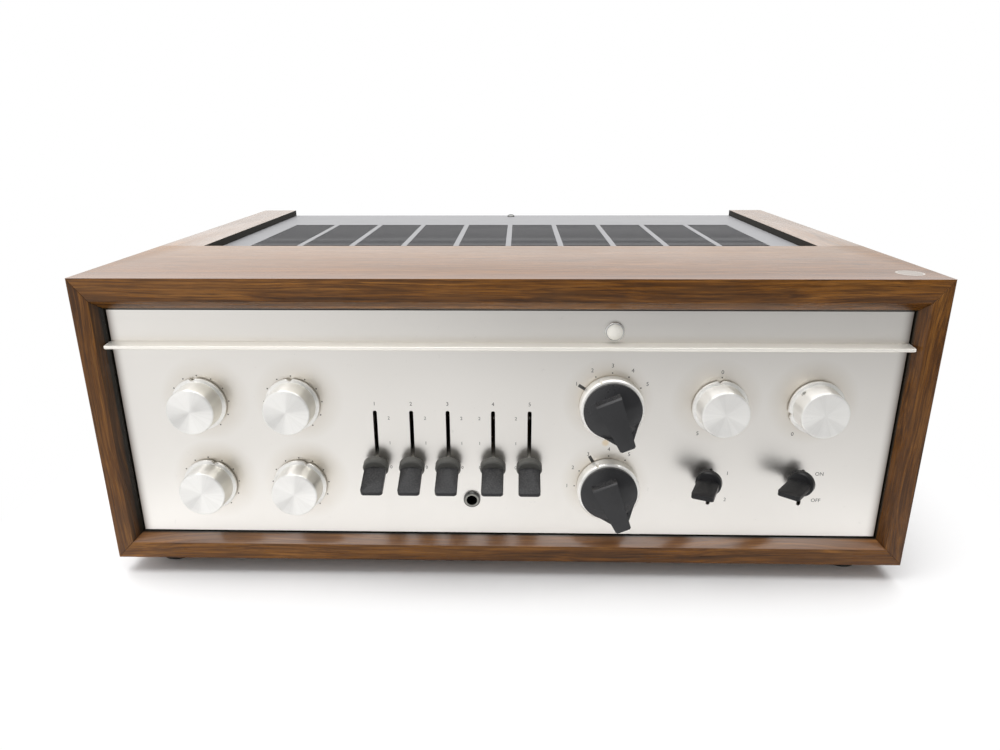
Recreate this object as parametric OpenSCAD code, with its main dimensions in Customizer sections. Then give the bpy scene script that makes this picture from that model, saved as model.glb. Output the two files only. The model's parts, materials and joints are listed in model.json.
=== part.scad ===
// Tube integrated amplifier in a wood case, as an assembly of separate pieces.
// Front faces -Y, +Z is up, the origin is at the middle of the footprint, under the feet.
// Pieces are drawn with the front of the wood at y = 0 and its underside at z = 0; place() moves them.

/* [Wood case] */
// Width of the wood case
cab_w = 482; // [470:1:520]
// Height of the wood case without its feet
cab_h = 176; // [172:1:200]
// Depth of the wood case
cab_d = 337; // [325:1:380]
// Thickness of the side panels
side_t = 15; // [12:0.5:18]
// Thickness of the top board
top_t = 18.5; // [15:0.5:20]
// Thickness of the bottom board
bottom_t = 15; // [12:0.5:18]
// Width of the bevel round the front opening, on the sides
bevel_w = 4.5; // [2:0.5:7]
// Depth of that bevel
bevel_d = 6; // [3:0.5:6.5]
// Depth of the front rail of the top
rail_d = 114; // [100:1:120]
// Width of the two cheeks of the top
cheek_w = 30; // [26:1:34]
// Width of the ledge that carries the grille
ledge_w = 9; // [6:1:9]

/* [Front panel] */
// Set-back of the panel behind the front of the wood
panel_recess = 7; // [6.5:0.5:10]
// Thickness of the panel
panel_t = 3; // [2:0.5:4]
// Gap between the panel and the wood
panel_gap = 0.8; // [0.5:0.1:1]

/* [Trim bar] */
// Top of the trim bar below the top of the panel
trim_drop = 18.2; // [18:0.2:22]
// Height of the trim bar at the panel
trim_h = 4.5; // [3.5:0.5:6]
// Projection of the trim bar
trim_out = 8; // [6:0.5:10]
// Height of its front lip
trim_lip = 1.7; // [1.2:0.1:2.5]
// Fall of the top face from the panel to the lip
trim_fall = 0.8; // [0.4:0.1:1.2]

/* [Grille] */
// Depth of the grille below the top of the wood
grille_drop = 5; // [4.5:0.5:7]
// Thickness of the grille sheet
grille_t = 1.5; // [1:0.1:2]
// Gap between the grille and the wood
grille_gap = 0.4; // [0.3:0.1:0.8]
// Least plain strip beside the slots
vent_side = 18; // [14:1:20]
// Distance between slot columns
vent_pitch = 38.4; // [34:0.2:38.6]
// Width of the rib between columns
vent_rib = 4; // [3:0.5:8]
// Distance between slots in a column
slot_pitch = 6.3; // [5:0.1:9]
// Width of the web between slots
slot_web = 1.6; // [1.2:0.1:2.5]
// Plain strip before the first slot, behind the rail
vent_front_margin = 10; // [10:1:20]
// Plain strip behind the last slot
vent_back_margin = 72; // [60:1:80]
// Height of the turned-down rear lip
grille_lip = 9; // [6:1:9]

/* [Control layout] */
// Outer columns of controls, from the middle
outer_x = 179; // [176:0.5:182]
// Inner columns of controls, from the middle
inner_x = 124; // [122:0.5:126]
// Column of the two selectors
selector_x = 61.6; // [58:0.2:64]
// Height of the upper row
row_upper = 100.5; // [98:0.5:102]
// Height of the lower row
row_lower = 48.5; // [47:0.5:50]
// Speaker toggle, from the middle
speaker_x = 122.7; // [120:0.1:126]
// Power toggle, from the middle
power_x = 177; // [174:0.5:181]

/* [Round knobs] */
// Diameter of the knob's skirt
skirt_d = 32; // [29:0.5:34]
// Thickness of the skirt
skirt_h = 2; // [1.5:0.1:3]
// Diameter of the knob's body at the skirt
knob_d = 28; // [26:0.5:28.5]
// Draft of the body, on the diameter
knob_draft = 1; // [0.4:0.2:2]
// Height of the knob
knob_h = 14.7; // [12:0.1:18]
// Depth of the dished face
knob_dish = 0.5; // [0.2:0.1:1]
// Rounding bevel at the face
knob_edge = 0.7; // [0.4:0.1:1.2]
// Gap between knobs and panel
knob_gap = 0.8; // [0.5:0.1:1]
// Width of the index notch
notch_w = 3.2; // [2:0.2:4]
// Rest of the left treble knob, turned from straight up
treble_left_rest = -7; // [-150:1:150]
// Rest of the right treble knob
treble_right_rest = 0; // [-150:1:150]
// Rest of the left bass knob
bass_left_rest = 17; // [-150:1:150]
// Rest of the right bass knob
bass_right_rest = 20; // [-150:1:150]
// Rest of the balance knob
balance_rest = -4; // [-150:1:150]
// Rest of the volume knob
volume_rest = -105; // [-140:1:140]

/* [Shafts] */
// Diameter of every control shaft
shaft_d = 6; // [5:0.1:6.5]
// Radial clearance of a shaft in its bushing
shaft_play = 0.05; // [0.02:0.01:0.1]
// Radial clearance of a knob on its shaft
grip_play = 0.02; // [0.01:0.01:0.05]
// Metal or plastic left in front of the shaft's tip
shaft_cover = 3.5; // [3:0.5:5]

/* [Selectors] */
// Diameter of the silver drum
drum_d = 37; // [35:0.5:40]
// Height of the drum
drum_h = 7.7; // [6:0.1:9]
// Diameter of the black knob's round base
pointer_d = 33.4; // [31:0.2:34]
// Straight edge of that base
pointer_edge = 2; // [1.5:0.1:3]
// Height of its domed base
pointer_dome = 6.5; // [5.5:0.1:8]
// Full height of the black knob at its grip
pointer_h = 11.5; // [11:0.5:16]
// Width of the grip at its tail
grip_w = 9.4; // [8:0.2:11]
// Reach of the tail from the axis
grip_reach = 22.2; // [21:0.2:24.5]
// Reach of the grip's other end from the axis
grip_back = 10; // [6:0.5:11]
// Width of the grip at that end
grip_back_w = 15; // [12:0.2:17]
// Height of the grip at its tail
tail_h = 9.5; // [7:0.5:11]
// Selectors at rest, turned from straight up
selector_rest = -23; // [-30:1:-20]

/* [Slot levers] */
// First lever, from the middle
lever_x = -76.3; // [-78:0.1:-75]
// Distance between levers
lever_pitch = 21.4; // [20.5:0.1:22]
// Distance between the two groups of levers
lever_group = 26.6; // [25:0.1:28]
// Height of the lever pivots
lever_z = 80; // [78:0.5:82]
// Pivot behind the front of the panel
lever_back = 31.5; // [29:0.5:33]
// Tilt of a lever at either end of its travel
lever_tilt = 24.2; // [20:0.2:25]
// Thickness of the lever strip
arm_t = 1.8; // [1.4:0.1:2.4]
// Height of the lever strip
arm_h = 3; // [2.5:0.1:3.5]
// Radius of the strip's eye
eye_r = 3.5; // [3:0.1:4]
// Diameter of the pivot pins
pin_d = 3; // [2.4:0.1:3.4]
// Radial clearance on a pivot pin
pin_play = 0.05; // [0.02:0.01:0.1]
// Clearance of a strip in its slot
slot_play = 0.3; // [0.3:0.05:0.6]

/* [Paddles] */
// Paddle disc's rear face from the pivot, on the slot levers
disc_reach = 39.5; // [39:0.1:42]
// Diameter of the paddle's disc
disc_d = 15.1; // [13:0.1:15.5]
// Thickness of the disc
disc_t = 4; // [3:0.1:5]
// Width of the tab
tab_w = 12.7; // [11:0.1:13]
// Length of the tab in front of the disc
tab_l = 18; // [15:0.5:19]
// Thickness of the tab at the disc
tab_root = 7; // [6:0.1:8]
// Thickness of the tab at its tip
tab_tip = 2.6; // [2:0.1:4]
// Corner radius of the tab
tab_corner = 2; // [1:0.1:3]
// Depth of the strip in the paddle
arm_seat = 9; // [7:0.5:12]

/* [Toggles] */
// Toggle pivot behind the front of the panel
toggle_back = 25; // [24:0.5:27]
// Tilt of a toggle at either end of its throw
toggle_tilt = 12; // [9:0.5:12.5]
// Clearance between a toggle's cap and the panel, at the end of its throw
cap_clear = 0.6; // [0.4:0.1:3]
// Offset of the caps to the left of their strips
cap_shift = 2; // [0:0.1:2.5]
// Height of the toggle's strip
bat_h = 4.5; // [3.5:0.1:5]
// Room at either end of a toggle slot
toggle_room = 4; // [2:0.5:5]
// Speaker cap turned to the left
speaker_turn = 24; // [20:1:34]
// Power cap turned to the left
power_turn = 40; // [20:1:46]
// Fall of the two turned caps
cap_fall = 1; // [0:1:12]

/* [Jack and lamp] */
// Headphone jack, from the middle
jack_x = -20; // [-21:0.2:-19.6]
// Height of the headphone jack
jack_z = 39.2; // [36:0.2:41]
// Bore of the headphone jack
jack_bore_d = 6.4; // [6.35:0.05:6.6]
// Depth of that bore
jack_bore_l = 26; // [22:1:28]
// Diameter of the jack's nut
jack_nut_d = 10.1; // [9.6:0.1:12]
// Height of the jack's nut
jack_nut_h = 2; // [1.5:0.1:3]
// Pilot lamp below the top of the panel
lamp_drop = 11.7; // [8:0.1:12]
// Diameter of the lamp's bezel
bezel_d = 11.2; // [10.6:0.1:12]
// Height of the bezel
bezel_h = 2; // [1:0.1:3]
// Diameter of the lens
lens_d = 9; // [8:0.1:9]
// Rise of the lens in front of the bezel
lens_rise = 1.6; // [1:0.1:2.5]
// Length of the lamp holder behind the panel
lamp_holder_l = 24; // [20:1:30]

/* [Chassis] */
// Thickness of the chassis sheet
sheet_t = 1.5; // [1.2:0.1:2]
// Gap between the chassis and the wood sides
chassis_gap = 8; // [6:1:12]
// Room between the panel and the bulkhead
bulkhead_gap = 6; // [5.5:0.5:8]
// Room between the bulkhead's top edge and the lamp above it
bulkhead_room = 12; // [10:1:14]
// Height of the deck's upper face
deck_z = 62; // [58:1:64]
// Start of the deck
deck_front = 78; // [76:1:84]
// Rear panel in front of the rear of the wood
rear_recess = 24; // [22:1:28]
// Gap between the rear panel and the wood sides
rear_gap = 1.5; // [1:0.5:3]
// Width of the bottom flanges
flange_w = 13; // [10:1:15]

/* [Power parts] */
// Width of the power transformer
power_w = 100; // [85:1:110]
// Depth of the power transformer's core
power_d = 36; // [28:1:38]
// Height of the power transformer
power_h = 88; // [75:1:95]
// Width of the output transformers
output_w = 78; // [66:1:84]
// Depth of the output transformers' core
output_d = 32; // [26:1:36]
// Height of the output transformers
output_h = 74; // [60:1:85]
// Output transformers, from the middle
output_x = 118; // [108:1:128]
// Depth of each end bell
bell_d = 12; // [8:1:13]
// Draft of the end bells
bell_draft = 7; // [4:1:10]
// Diameter of the filter capacitors
cap_d = 35; // [30:0.5:36]
// Height of the filter capacitors
cap_h = 75; // [60:1:85]

/* [Tubes] */
// Row of output tubes behind the start of the deck
output_row = 118; // [110:1:122]
// Distance between neighbouring output tubes
output_pitch = 66; // [58:1:70]
// Row of small tubes behind the start of the deck
small_row = 44; // [30:1:54]
// Distance between small tubes
small_pitch = 50; // [40:1:56]
// Number of small tubes
small_count = 7; // [5:1:7]
// Diameter of an output tube's glass
output_glass_d = 38; // [34:0.5:40]
// Height of an output tube above its socket
output_tube_h = 88; // [75:1:92]
// Diameter of an output tube's base
output_base_d = 33; // [30:0.5:33]
// Height of that base
output_base_h = 15; // [12:0.5:20]
// Diameter of a small tube
small_glass_d = 21; // [19:0.5:22]
// Height of a small tube
small_tube_h = 54; // [45:1:65]
// Rim of a socket beyond its body
socket_rim = 2.5; // [2:0.1:4]
// Height of a socket's rim
socket_h = 3; // [2:0.5:4]
// Depth of a socket below the deck
socket_drop = 10; // [8:1:14]

/* [Rear connectors] */
// Number of phono jack pairs
phono_pairs = 7; // [4:1:7]
// Distance between phono jacks
phono_pitch = 19; // [17:0.5:20]
// Diameter of a phono jack's sleeve
phono_d = 8.2; // [8:0.1:8.6]
// Length of a phono jack's sleeve
phono_l = 9; // [7:0.5:12]
// Length of a speaker terminal strip
strip_l = 58; // [50:1:64]
// Height of a speaker terminal strip
strip_h = 20; // [16:1:24]
// Width of a mains outlet
outlet_w = 32; // [28:1:34]
// Height of a mains outlet
outlet_h = 24; // [20:1:26]
// Diameter of the fuse holder
fuse_d = 15; // [13:0.5:18]
// Bore of the cord bushing
bushing_bore_d = 8; // [6:0.5:9]

/* [Feet and bottom] */
// Height of the feet
foot_h = 12; // [8:1:18]
// Diameter of the feet
foot_d = 24; // [20:1:28]
// Feet in from the edges of the case
foot_inset = 26; // [24:1:32]
// Width of the wood left round the bottom opening
bottom_rim = 52; // [46:1:58]
// Overlap of the bottom plate on that wood
plate_lap = 10; // [8:1:14]
// Thickness of the bottom plate
plate_t = 1.5; // [1:0.1:2]
// Length of a vent slot in the bottom plate
plate_slot_l = 60; // [40:1:70]
// Width of a vent slot in the bottom plate
plate_slot_w = 4; // [3:0.5:5]
// Diameter of the screw heads
screw_head_d = 7; // [5:0.5:8]
// Height of the screw heads
screw_head_h = 2.2; // [1.5:0.1:2.6]
// Diameter of the screws
screw_d = 3.4; // [3:0.1:4]
// Length of the screws
screw_l = 8; // [7:0.5:9]

/* [Hidden] */
$fn = 64;
// Overshoot of cuts past a face
cut = 1;
// Clearance of a hole round what only passes through it
hole_room = 1;
// Clearance of a hole round what is fastened in it
seat_room = 0.1;

// Opening in the wood frame
open_x = cab_w / 2 - side_t;
open_top = cab_h - top_t;
open_bottom = bottom_t;

// Front panel
panel_y = panel_recess;
panel_back = panel_y + panel_t;
panel_x = open_x - panel_gap;
panel_top = open_top - panel_gap;
panel_bottom = open_bottom + panel_gap;

// Chassis
bulkhead_y = panel_back + bulkhead_gap;
bulkhead_back = bulkhead_y + sheet_t;
chassis_x = open_x - chassis_gap;
rear_y = cab_d - rear_recess;
rear_face = rear_y + sheet_t;
rear_x = open_x - rear_gap;

// Grille
well_x = cab_w / 2 - cheek_w;
grille_top = cab_h - grille_drop;
grille_low = grille_top - grille_t;
vent_front = rail_d + vent_front_margin;
vent_back = cab_d - vent_back_margin;
vent_cols = floor((2 * (well_x - vent_side) + vent_rib) / vent_pitch);
slot_rows = floor((vent_back - vent_front + slot_web) / slot_pitch);
slot_w = slot_pitch - slot_web;

// Trim bar and lamp
trim_top = panel_top - trim_drop;
trim_front = panel_y - trim_out;
trim_gap = 0.2;
lamp_z = panel_top - lamp_drop;
lens_r = lens_d / 2;
bezel_wall = 0.5;
bezel_sleeve_r = lens_r + bezel_wall;
bulkhead_top = lamp_z - bezel_sleeve_r - bulkhead_room;

// Knobs
shaft_r = shaft_d / 2;
knob_back = panel_y - knob_gap;
knob_front = knob_back - knob_h;
knob_shaft_tip = knob_front + knob_dish + shaft_cover;
shaft_depth = 9;
shaft_tail = bulkhead_back + shaft_depth;
pot_d = 24;
pot_l = 12;
lug_w = 16;
lug_t = 2;
lug_drop = 5;
bushing_wall = 1.7;
bushing_r = shaft_r + bushing_wall;
bushing_room = 1.5;
bushing_l = bulkhead_gap - bushing_room;
nut_af = 2 * bushing_r + 2.6;
nut_h = 2;
treble_left_at = [-outer_x, row_upper];
treble_right_at = [-inner_x, row_upper];
bass_left_at = [-outer_x, row_lower];
bass_right_at = [-inner_x, row_lower];
balance_at = [inner_x, row_upper];
volume_at = [outer_x, row_upper];
pot_places = [treble_left_at, treble_right_at, bass_left_at, bass_right_at, balance_at, volume_at];
corner_round = 0.4;

// Selectors
drum_front = knob_back - drum_h;
pointer_front = drum_front - pointer_h;
pointer_r = pointer_d / 2;
selector_shaft_tip = drum_front - pointer_dome + shaft_cover;
input_at = [selector_x, row_upper];
mode_at = [selector_x, row_lower];
selector_places = [input_at, mode_at];
wafer_d = 36;
wafer_t = 1.6;
wafer_step = 11;
detent_d = 30;
detent_h = 11;
post_r = 2;
post_x = 12;
post_end = 3;

// Levers
lever_y = panel_y + lever_back;
lever_places = [
    lever_x,
    lever_x + lever_pitch,
    lever_x + 2 * lever_pitch,
    lever_x + 2 * lever_pitch + lever_group,
    lever_x + 3 * lever_pitch + lever_group
];
pin_r = pin_d / 2;
paddle_l = disc_t + tab_l;
paddle_tip = disc_reach + paddle_l;
slot_wide = arm_t + 2 * slot_play;
cheek_gap = 1.6;
cheek_t = 1;
switch_d = 16;
switch_h = 30;
lever_front = lever_y - paddle_tip * cos(lever_tilt) - tab_tip / 2 * sin(lever_tilt);

// Toggles
toggle_y = panel_y + toggle_back;
toggle_places = [speaker_x, power_x];
toggle_z = row_lower;
// Lean of a cap's disc at the end of its throw, which brings its rim near the panel
cap_turn = max(speaker_turn, power_turn);
toggle_throw = 2 * toggle_tilt;
cap_lean = acos(cos(toggle_throw) * cos(cap_turn) * cos(cap_fall) - sin(toggle_throw) * sin(cap_fall));
toggle_disc_y = panel_y - disc_d / 2 * sin(cap_lean) - cap_clear;
toggle_reach = (toggle_y - toggle_disc_y) / cos(toggle_tilt);

// Front-most point of a turned cap, at the round corner of its tab
function cap_front(turn) =
    let (along = cos(cap_fall) * cos(turn), across = sin(turn))
    toggle_disc_y - (paddle_l - tab_corner) * along - (tab_w / 2 - tab_corner) * across
        - tab_corner * norm([along, across]) - tab_tip / 2 * sin(cap_fall) * cos(turn);

// Overall front and place in the part's frame
front_y = min(lever_front, pointer_front, cap_front(speaker_turn), cap_front(power_turn));
shift_y = -(front_y + cab_d) / 2;

// Power parts
output_places = [-1.5 * output_pitch, -0.5 * output_pitch, 0.5 * output_pitch, 1.5 * output_pitch];
small_places = [for (i = [0 : small_count - 1]) (i - (small_count - 1) / 2) * small_pitch];
cap_places = [-2.5 * output_pitch, 2.5 * output_pitch];
output_tube_y = deck_front + output_row;
small_tube_y = deck_front + small_row;
transformer_gap = 6;
power_y = rear_y - transformer_gap - bell_d - power_d / 2;
output_y = rear_y - transformer_gap - bell_d - output_d / 2;
socket_body_big = output_base_d / 2 - socket_rim / 2;
socket_body_small = small_glass_d / 2 - socket_rim / 2;

// Bottom
bottom_x = cab_w / 2 - bottom_rim;
bottom_front = bottom_rim;
bottom_back = cab_d - bottom_rim;
foot_places = [
    for (x = [-1, 1], y = [foot_inset, cab_d - foot_inset]) [x * (cab_w / 2 - foot_inset), y]
];
plate_screws = [
    for (x = [-1, 0, 1], y = [bottom_front - plate_lap / 2, bottom_back + plate_lap / 2])
        [x * bottom_x, y]
];
grille_screws = [
    [-well_x + 2 * ledge_w, rail_d + ledge_w / 2],
    [well_x - 2 * ledge_w, rail_d + ledge_w / 2],
    [0, cab_d - ledge_w]
];

wood = "saddlebrown";
steel = "silver";
alu = "gainsboro";
black = "dimgray";

// Moves a piece from the drawing's frame to the part's frame.
module place() {
    translate([0, shift_y, foot_h]) children();
}

// Extrudes an outline in X and Z from depth y0 to depth y1.
module along_y(y0, y1) {
    translate([0, y1, 0]) rotate([90, 0, 0]) linear_extrude(y1 - y0) children();
}

// Extrudes an outline in Y and Z from x0 to x1.
module along_x(x0, x1) {
    translate([x0, 0, 0]) rotate([90, 0, 90]) linear_extrude(x1 - x0) children();
}

// Cylinder along Y from depth y0 to depth y1.
module rod_y(r, y0, y1) {
    translate([0, y1, 0]) rotate([90, 0, 0]) cylinder(r = r, h = y1 - y0);
}

// Cylinder along X between x0 and x1.
module rod_x(r, x0, x1) {
    translate([x0, 0, 0]) rotate([0, 90, 0]) cylinder(r = r, h = x1 - x0);
}

// Turned piece whose axis points to the front, from depth y.
module turned_y(y) {
    translate([0, y, 0]) rotate([90, 0, 0]) rotate_extrude() children();
}

// Puts a control at its place [x, z] on the panel.
module at_panel(p) {
    translate([p[0], 0, p[1]]) children();
}

// Round cap that stands on z = 0: the part of a sphere through a circle of radius r.
module dome(r, rise) {
    ball_r = (r * r + rise * rise) / (2 * rise);
    intersection() {
        translate([0, 0, rise - ball_r]) sphere(r = ball_r);
        cylinder(r = r, h = rise + cut);
    }
}

// The same cap on a face at depth y, towards the front.
module dome_y(r, rise, y) {
    translate([0, y, 0]) rotate([90, 0, 0]) dome(r, rise);
}

// Box between two corners.
module box(a, b) {
    translate(a) cube(b - a);
}

// Wood case.

// Bevel cut of a board: from the front face to bevel_d, where the opening edge is at z = 0.
module bevel_cut(w, l) {
    along_x(-l / 2, l / 2)
        polygon([[-cut, w * (1 + cut / bevel_d)], [bevel_d, 0], [bevel_d, -cut], [-cut, -cut]]);
}

// Outline of the top board, mitred to the sides.
module top_outline() {
    polygon([[-cab_w / 2, cab_h], [cab_w / 2, cab_h], [open_x, open_top], [-open_x, open_top]]);
}

module top_board() {
    color(wood) place() difference() {
        along_y(0, cab_d) top_outline();
        translate([0, 0, open_top]) bevel_cut(bevel_w * top_t / side_t, cab_w);
        box([-well_x, rail_d, grille_low], [well_x, cab_d + cut, cab_h + cut]);
        box([-well_x + ledge_w, rail_d + ledge_w, open_top - cut], [well_x - ledge_w, cab_d + cut, cab_h]);
        for (p = [grille_screws[0], grille_screws[1]])
            translate([p[0], p[1], grille_low - screw_l])
                cylinder(d = screw_d + seat_room, h = screw_l + cut);
    }
}

module side_panel() {
    difference() {
        along_y(0, cab_d)
            polygon([[cab_w / 2, 0], [cab_w / 2, cab_h], [open_x, open_top], [open_x, open_bottom]]);
        translate([open_x, 0, cab_h / 2]) rotate([0, 90, 0]) bevel_cut(bevel_w, cab_h);
    }
}

module right_side_panel() {
    color(wood) place() side_panel();
}

module left_side_panel() {
    color(wood) place() mirror([1, 0, 0]) side_panel();
}

module bottom_board() {
    color(wood) place() difference() {
        along_y(0, cab_d)
            polygon([[-cab_w / 2, 0], [cab_w / 2, 0], [open_x, open_bottom], [-open_x, open_bottom]]);
        translate([0, 0, open_bottom]) mirror([0, 0, 1]) bevel_cut(bevel_w * bottom_t / side_t, cab_w);
        box([-bottom_x, bottom_front, -cut], [bottom_x, bottom_back, bottom_t + cut]);
        box(
            [-bottom_x - plate_lap, bottom_front - plate_lap, -cut],
            [bottom_x + plate_lap, bottom_back + plate_lap, plate_t]
        );
        for (p = plate_screws)
            translate([p[0], p[1], -cut]) cylinder(d = screw_d + seat_room, h = screw_l + plate_t + cut);
        for (p = foot_places)
            translate([p[0], p[1], -cut]) cylinder(d = screw_d + seat_room, h = screw_l + cut);
    }
}

// Front panel and what is fastened to it.

// Slot for a strip that swings about x at pivot height z: half its length is given.
module strip_slot(x, z, half, y0, y1, wide) {
    box([x - wide / 2, y0, z - half], [x + wide / 2, y1, z + half]);
}

// The same slot with round ends, longer by what a square strip loses in them.
module round_slot(x, z, half, y0, y1, wide) {
    r = wide / 2;
    end_z = half - sqrt(r * r - arm_t * arm_t / 4);
    strip_slot(x, z, end_z, y0, y1, wide);
    for (s = [-1, 1])
        at_panel([x, z + s * end_z]) rod_y(r, y0, y1);
}

// Half length that a strip of height h needs at depth y in front of a pivot.
function swing_half(reach, tilt, h, room) = reach * tan(tilt) + h / 2 / cos(tilt) + room;

module front_panel() {
    color(alu) place() difference() {
        box([-panel_x, panel_y, panel_bottom], [panel_x, panel_back, panel_top]);
        for (p = concat(pot_places, selector_places))
            at_panel(p) rod_y(shaft_r + hole_room, panel_y - cut, panel_back + cut);
        for (x = lever_places)
            round_slot(
                x, lever_z, swing_half(lever_back, lever_tilt, arm_h, slot_play),
                panel_y - cut, panel_back + cut, slot_wide
            );
        for (x = toggle_places)
            round_slot(
                x, toggle_z, swing_half(toggle_back, toggle_tilt, bat_h, toggle_room),
                panel_y - cut, panel_back + cut, slot_wide
            );
        at_panel([jack_x, jack_z]) rod_y(jack_sleeve_r + seat_room, panel_y - cut, panel_back + cut);
        at_panel([selector_x, lamp_z]) rod_y(bezel_sleeve_r + seat_room, panel_y - cut, panel_back + cut);
    }
}

module trim_bar() {
    end_x = open_x - trim_gap;
    color("lightgray") place() along_x(-end_x, end_x) polygon([
        [panel_y, trim_top],
        [panel_y, trim_top - trim_h],
        [trim_front + trim_lip, trim_top - trim_fall - trim_lip - trim_fall],
        [trim_front, trim_top - trim_fall - trim_lip],
        [trim_front, trim_top - trim_fall]
    ]);
}

lens_seat = panel_back;

module pilot_bezel() {
    color("silver") place() at_panel([selector_x, lamp_z]) difference() {
        union() {
            turned_y(panel_y) polygon([
                [0, 0], [bezel_d / 2, 0], [bezel_d / 2, bezel_h - bezel_wall],
                [bezel_d / 2 - bezel_wall, bezel_h], [0, bezel_h]
            ]);
            rod_y(bezel_sleeve_r, panel_y, panel_back + lamp_holder_l);
        }
        rod_y(lens_r + seat_room / 2, panel_y - bezel_h - cut, lens_seat);
    }
}

// Lens with a shallow round front.
module pilot_lens() {
    lens_front = panel_y - bezel_h;
    color("moccasin") place() at_panel([selector_x, lamp_z]) union() {
        rod_y(lens_r, lens_front, lens_seat);
        dome_y(lens_r, lens_rise, lens_front);
    }
}

jack_wall = 1.2;
jack_sleeve_r = jack_bore_d / 2 + jack_wall;
jack_body_w = 13;
jack_body_h = 15;

module headphone_jack() {
    color("silver") place() at_panel([jack_x, jack_z]) difference() {
        union() {
            turned_y(panel_y) polygon([
                [0, 0], [jack_nut_d / 2, 0], [jack_nut_d / 2, jack_nut_h - corner_round],
                [jack_nut_d / 2 - corner_round, jack_nut_h], [0, jack_nut_h]
            ]);
            rod_y(jack_sleeve_r, panel_y, panel_back);
            box(
                [-jack_body_w / 2, panel_back, -jack_body_h / 2],
                [jack_body_w / 2, panel_y + jack_bore_l + hole_room, jack_body_h / 2]
            );
        }
        rod_y(jack_bore_d / 2, panel_y - jack_nut_h - cut, panel_y - jack_nut_h + jack_bore_l);
    }
}

// Grille and screws.

module vent_slots() {
    for (c = [0 : vent_cols - 1], r = [0 : slot_rows - 1])
        translate([
            (c - vent_cols / 2) * vent_pitch + vent_rib / 2,
            vent_back - (r + 1) * slot_pitch + slot_web
        ])
            square([vent_pitch - vent_rib, slot_w]);
}

module top_grille() {
    sheet_x = well_x - grille_gap;
    color("darkgray") place() union() {
        translate([0, 0, grille_low]) linear_extrude(grille_t) difference() {
            translate([-sheet_x, rail_d + grille_gap]) square([2 * sheet_x, cab_d - rail_d - grille_gap]);
            vent_slots();
            for (p = grille_screws)
                translate(p) circle(d = screw_d + seat_room);
        }
        box(
            [-well_x + ledge_w + grille_gap, cab_d - grille_t, grille_low - grille_lip],
            [well_x - ledge_w - grille_gap, cab_d, grille_low]
        );
    }
}

screw_rim = 0.6;

// Round-headed screw whose head rests on z = 0 and whose shank points down.
module screw() {
    translate([0, 0, -screw_l]) cylinder(d = screw_d, h = screw_l);
    cylinder(d = screw_head_d, h = screw_rim);
    translate([0, 0, screw_rim]) dome(screw_head_d / 2, screw_head_h - screw_rim);
}

module case_screws() {
    color("slategray") place() {
        for (p = grille_screws)
            translate([p[0], p[1], grille_top]) screw();
        for (p = plate_screws)
            translate([p[0], p[1], 0]) mirror([0, 0, 1]) screw();
    }
}

// Chassis, rear and bottom.

// Window in the bulkhead for a swinging strip.
module bulkhead_window(x, z, reach, tilt, h) {
    strip_slot(
        x, z, swing_half(reach, tilt, h, hole_room), bulkhead_y - cut, bulkhead_back + cut,
        slot_wide + 2 * hole_room
    );
}

module bulkhead() {
    difference() {
        box([-chassis_x, bulkhead_y, bottom_t], [chassis_x, bulkhead_back, bulkhead_top]);
        for (p = concat(pot_places, selector_places))
            at_panel(p) rod_y(bushing_r + seat_room, bulkhead_y - cut, bulkhead_back + cut);
        for (x = lever_places)
            bulkhead_window(x, lever_z, lever_y - bulkhead_y, lever_tilt, arm_h);
        for (x = toggle_places)
            bulkhead_window(x, toggle_z, toggle_y - bulkhead_y, toggle_tilt, bat_h);
        at_panel([jack_x, jack_z]) box(
            [-jack_body_w / 2 - hole_room, bulkhead_y - cut, -jack_body_h / 2 - hole_room],
            [jack_body_w / 2 + hole_room, bulkhead_back + cut, jack_body_h / 2 + hole_room]
        );
    }
}

boss_r = 4;
boss_inset = 10;

module chassis_side() {
    along_x(chassis_x - sheet_t, chassis_x) polygon([
        [bulkhead_y, bottom_t], [rear_y, bottom_t], [rear_y, deck_z], [deck_front, deck_z],
        [bulkhead_y + (deck_front - bulkhead_y) / 3, bulkhead_top], [bulkhead_y, bulkhead_top]
    ]);
    box([chassis_x - flange_w, bulkhead_y, bottom_t], [chassis_x, rear_y, bottom_t + sheet_t]);
}

module chassis() {
    color(steel) place() {
        bulkhead();
        for (s = [0, 1])
            mirror([s, 0, 0]) chassis_side();
        for (x = [-1, 1], z = [bottom_t + boss_inset, bulkhead_top - boss_inset])
            translate([x * (chassis_x - boss_inset), 0, z]) rod_y(boss_r, panel_back, bulkhead_y);
        difference() {
            box([-chassis_x, deck_front, deck_z - sheet_t], [chassis_x, rear_y, deck_z]);
            for (x = output_places)
                translate([x, output_tube_y, deck_z - sheet_t - cut])
                    cylinder(r = socket_body_big + seat_room, h = sheet_t + 2 * cut);
            for (x = small_places)
                translate([x, small_tube_y, deck_z - sheet_t - cut])
                    cylinder(r = socket_body_small + seat_room, h = sheet_t + 2 * cut);
        }
    }
}

rear_top = open_top - rear_gap;
tab_half = 14;
phono_low = 34;
phono_step = 22;
phono_x = -chassis_x + 26;
phono_stub_r = 2.9;
strip_gap = 6;
strip_z = 88;
strip_t = 6;
terminal_r = 4;
terminal_l = 10;
terminals = 4;
fuse_in_from_end = 100;
fuse_z = 40;
fuse_l = 12;
fuse_in = 20;
outlet_in_from_end = 12;
outlet_gap = 6;
outlet_z = 112;
outlet_t = 8;
outlet_floor = 2;
blade_x = 6.3;
blade_w = 2;
blade_h = 8;
bushing_in_from_end = 38;
bushing_lip = 2;
bushing_out = 6;
phono_washer = 2;
phono_washer_t = 1.5;
phono_in = 7;
phono_bore_r = 1.6;
phono_places = [
    for (i = [0 : phono_pairs - 1], r = [0, 1]) [phono_x + i * phono_pitch, phono_low + r * phono_step]
];
outlet_x = chassis_x - outlet_in_from_end - outlet_w / 2;
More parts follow.
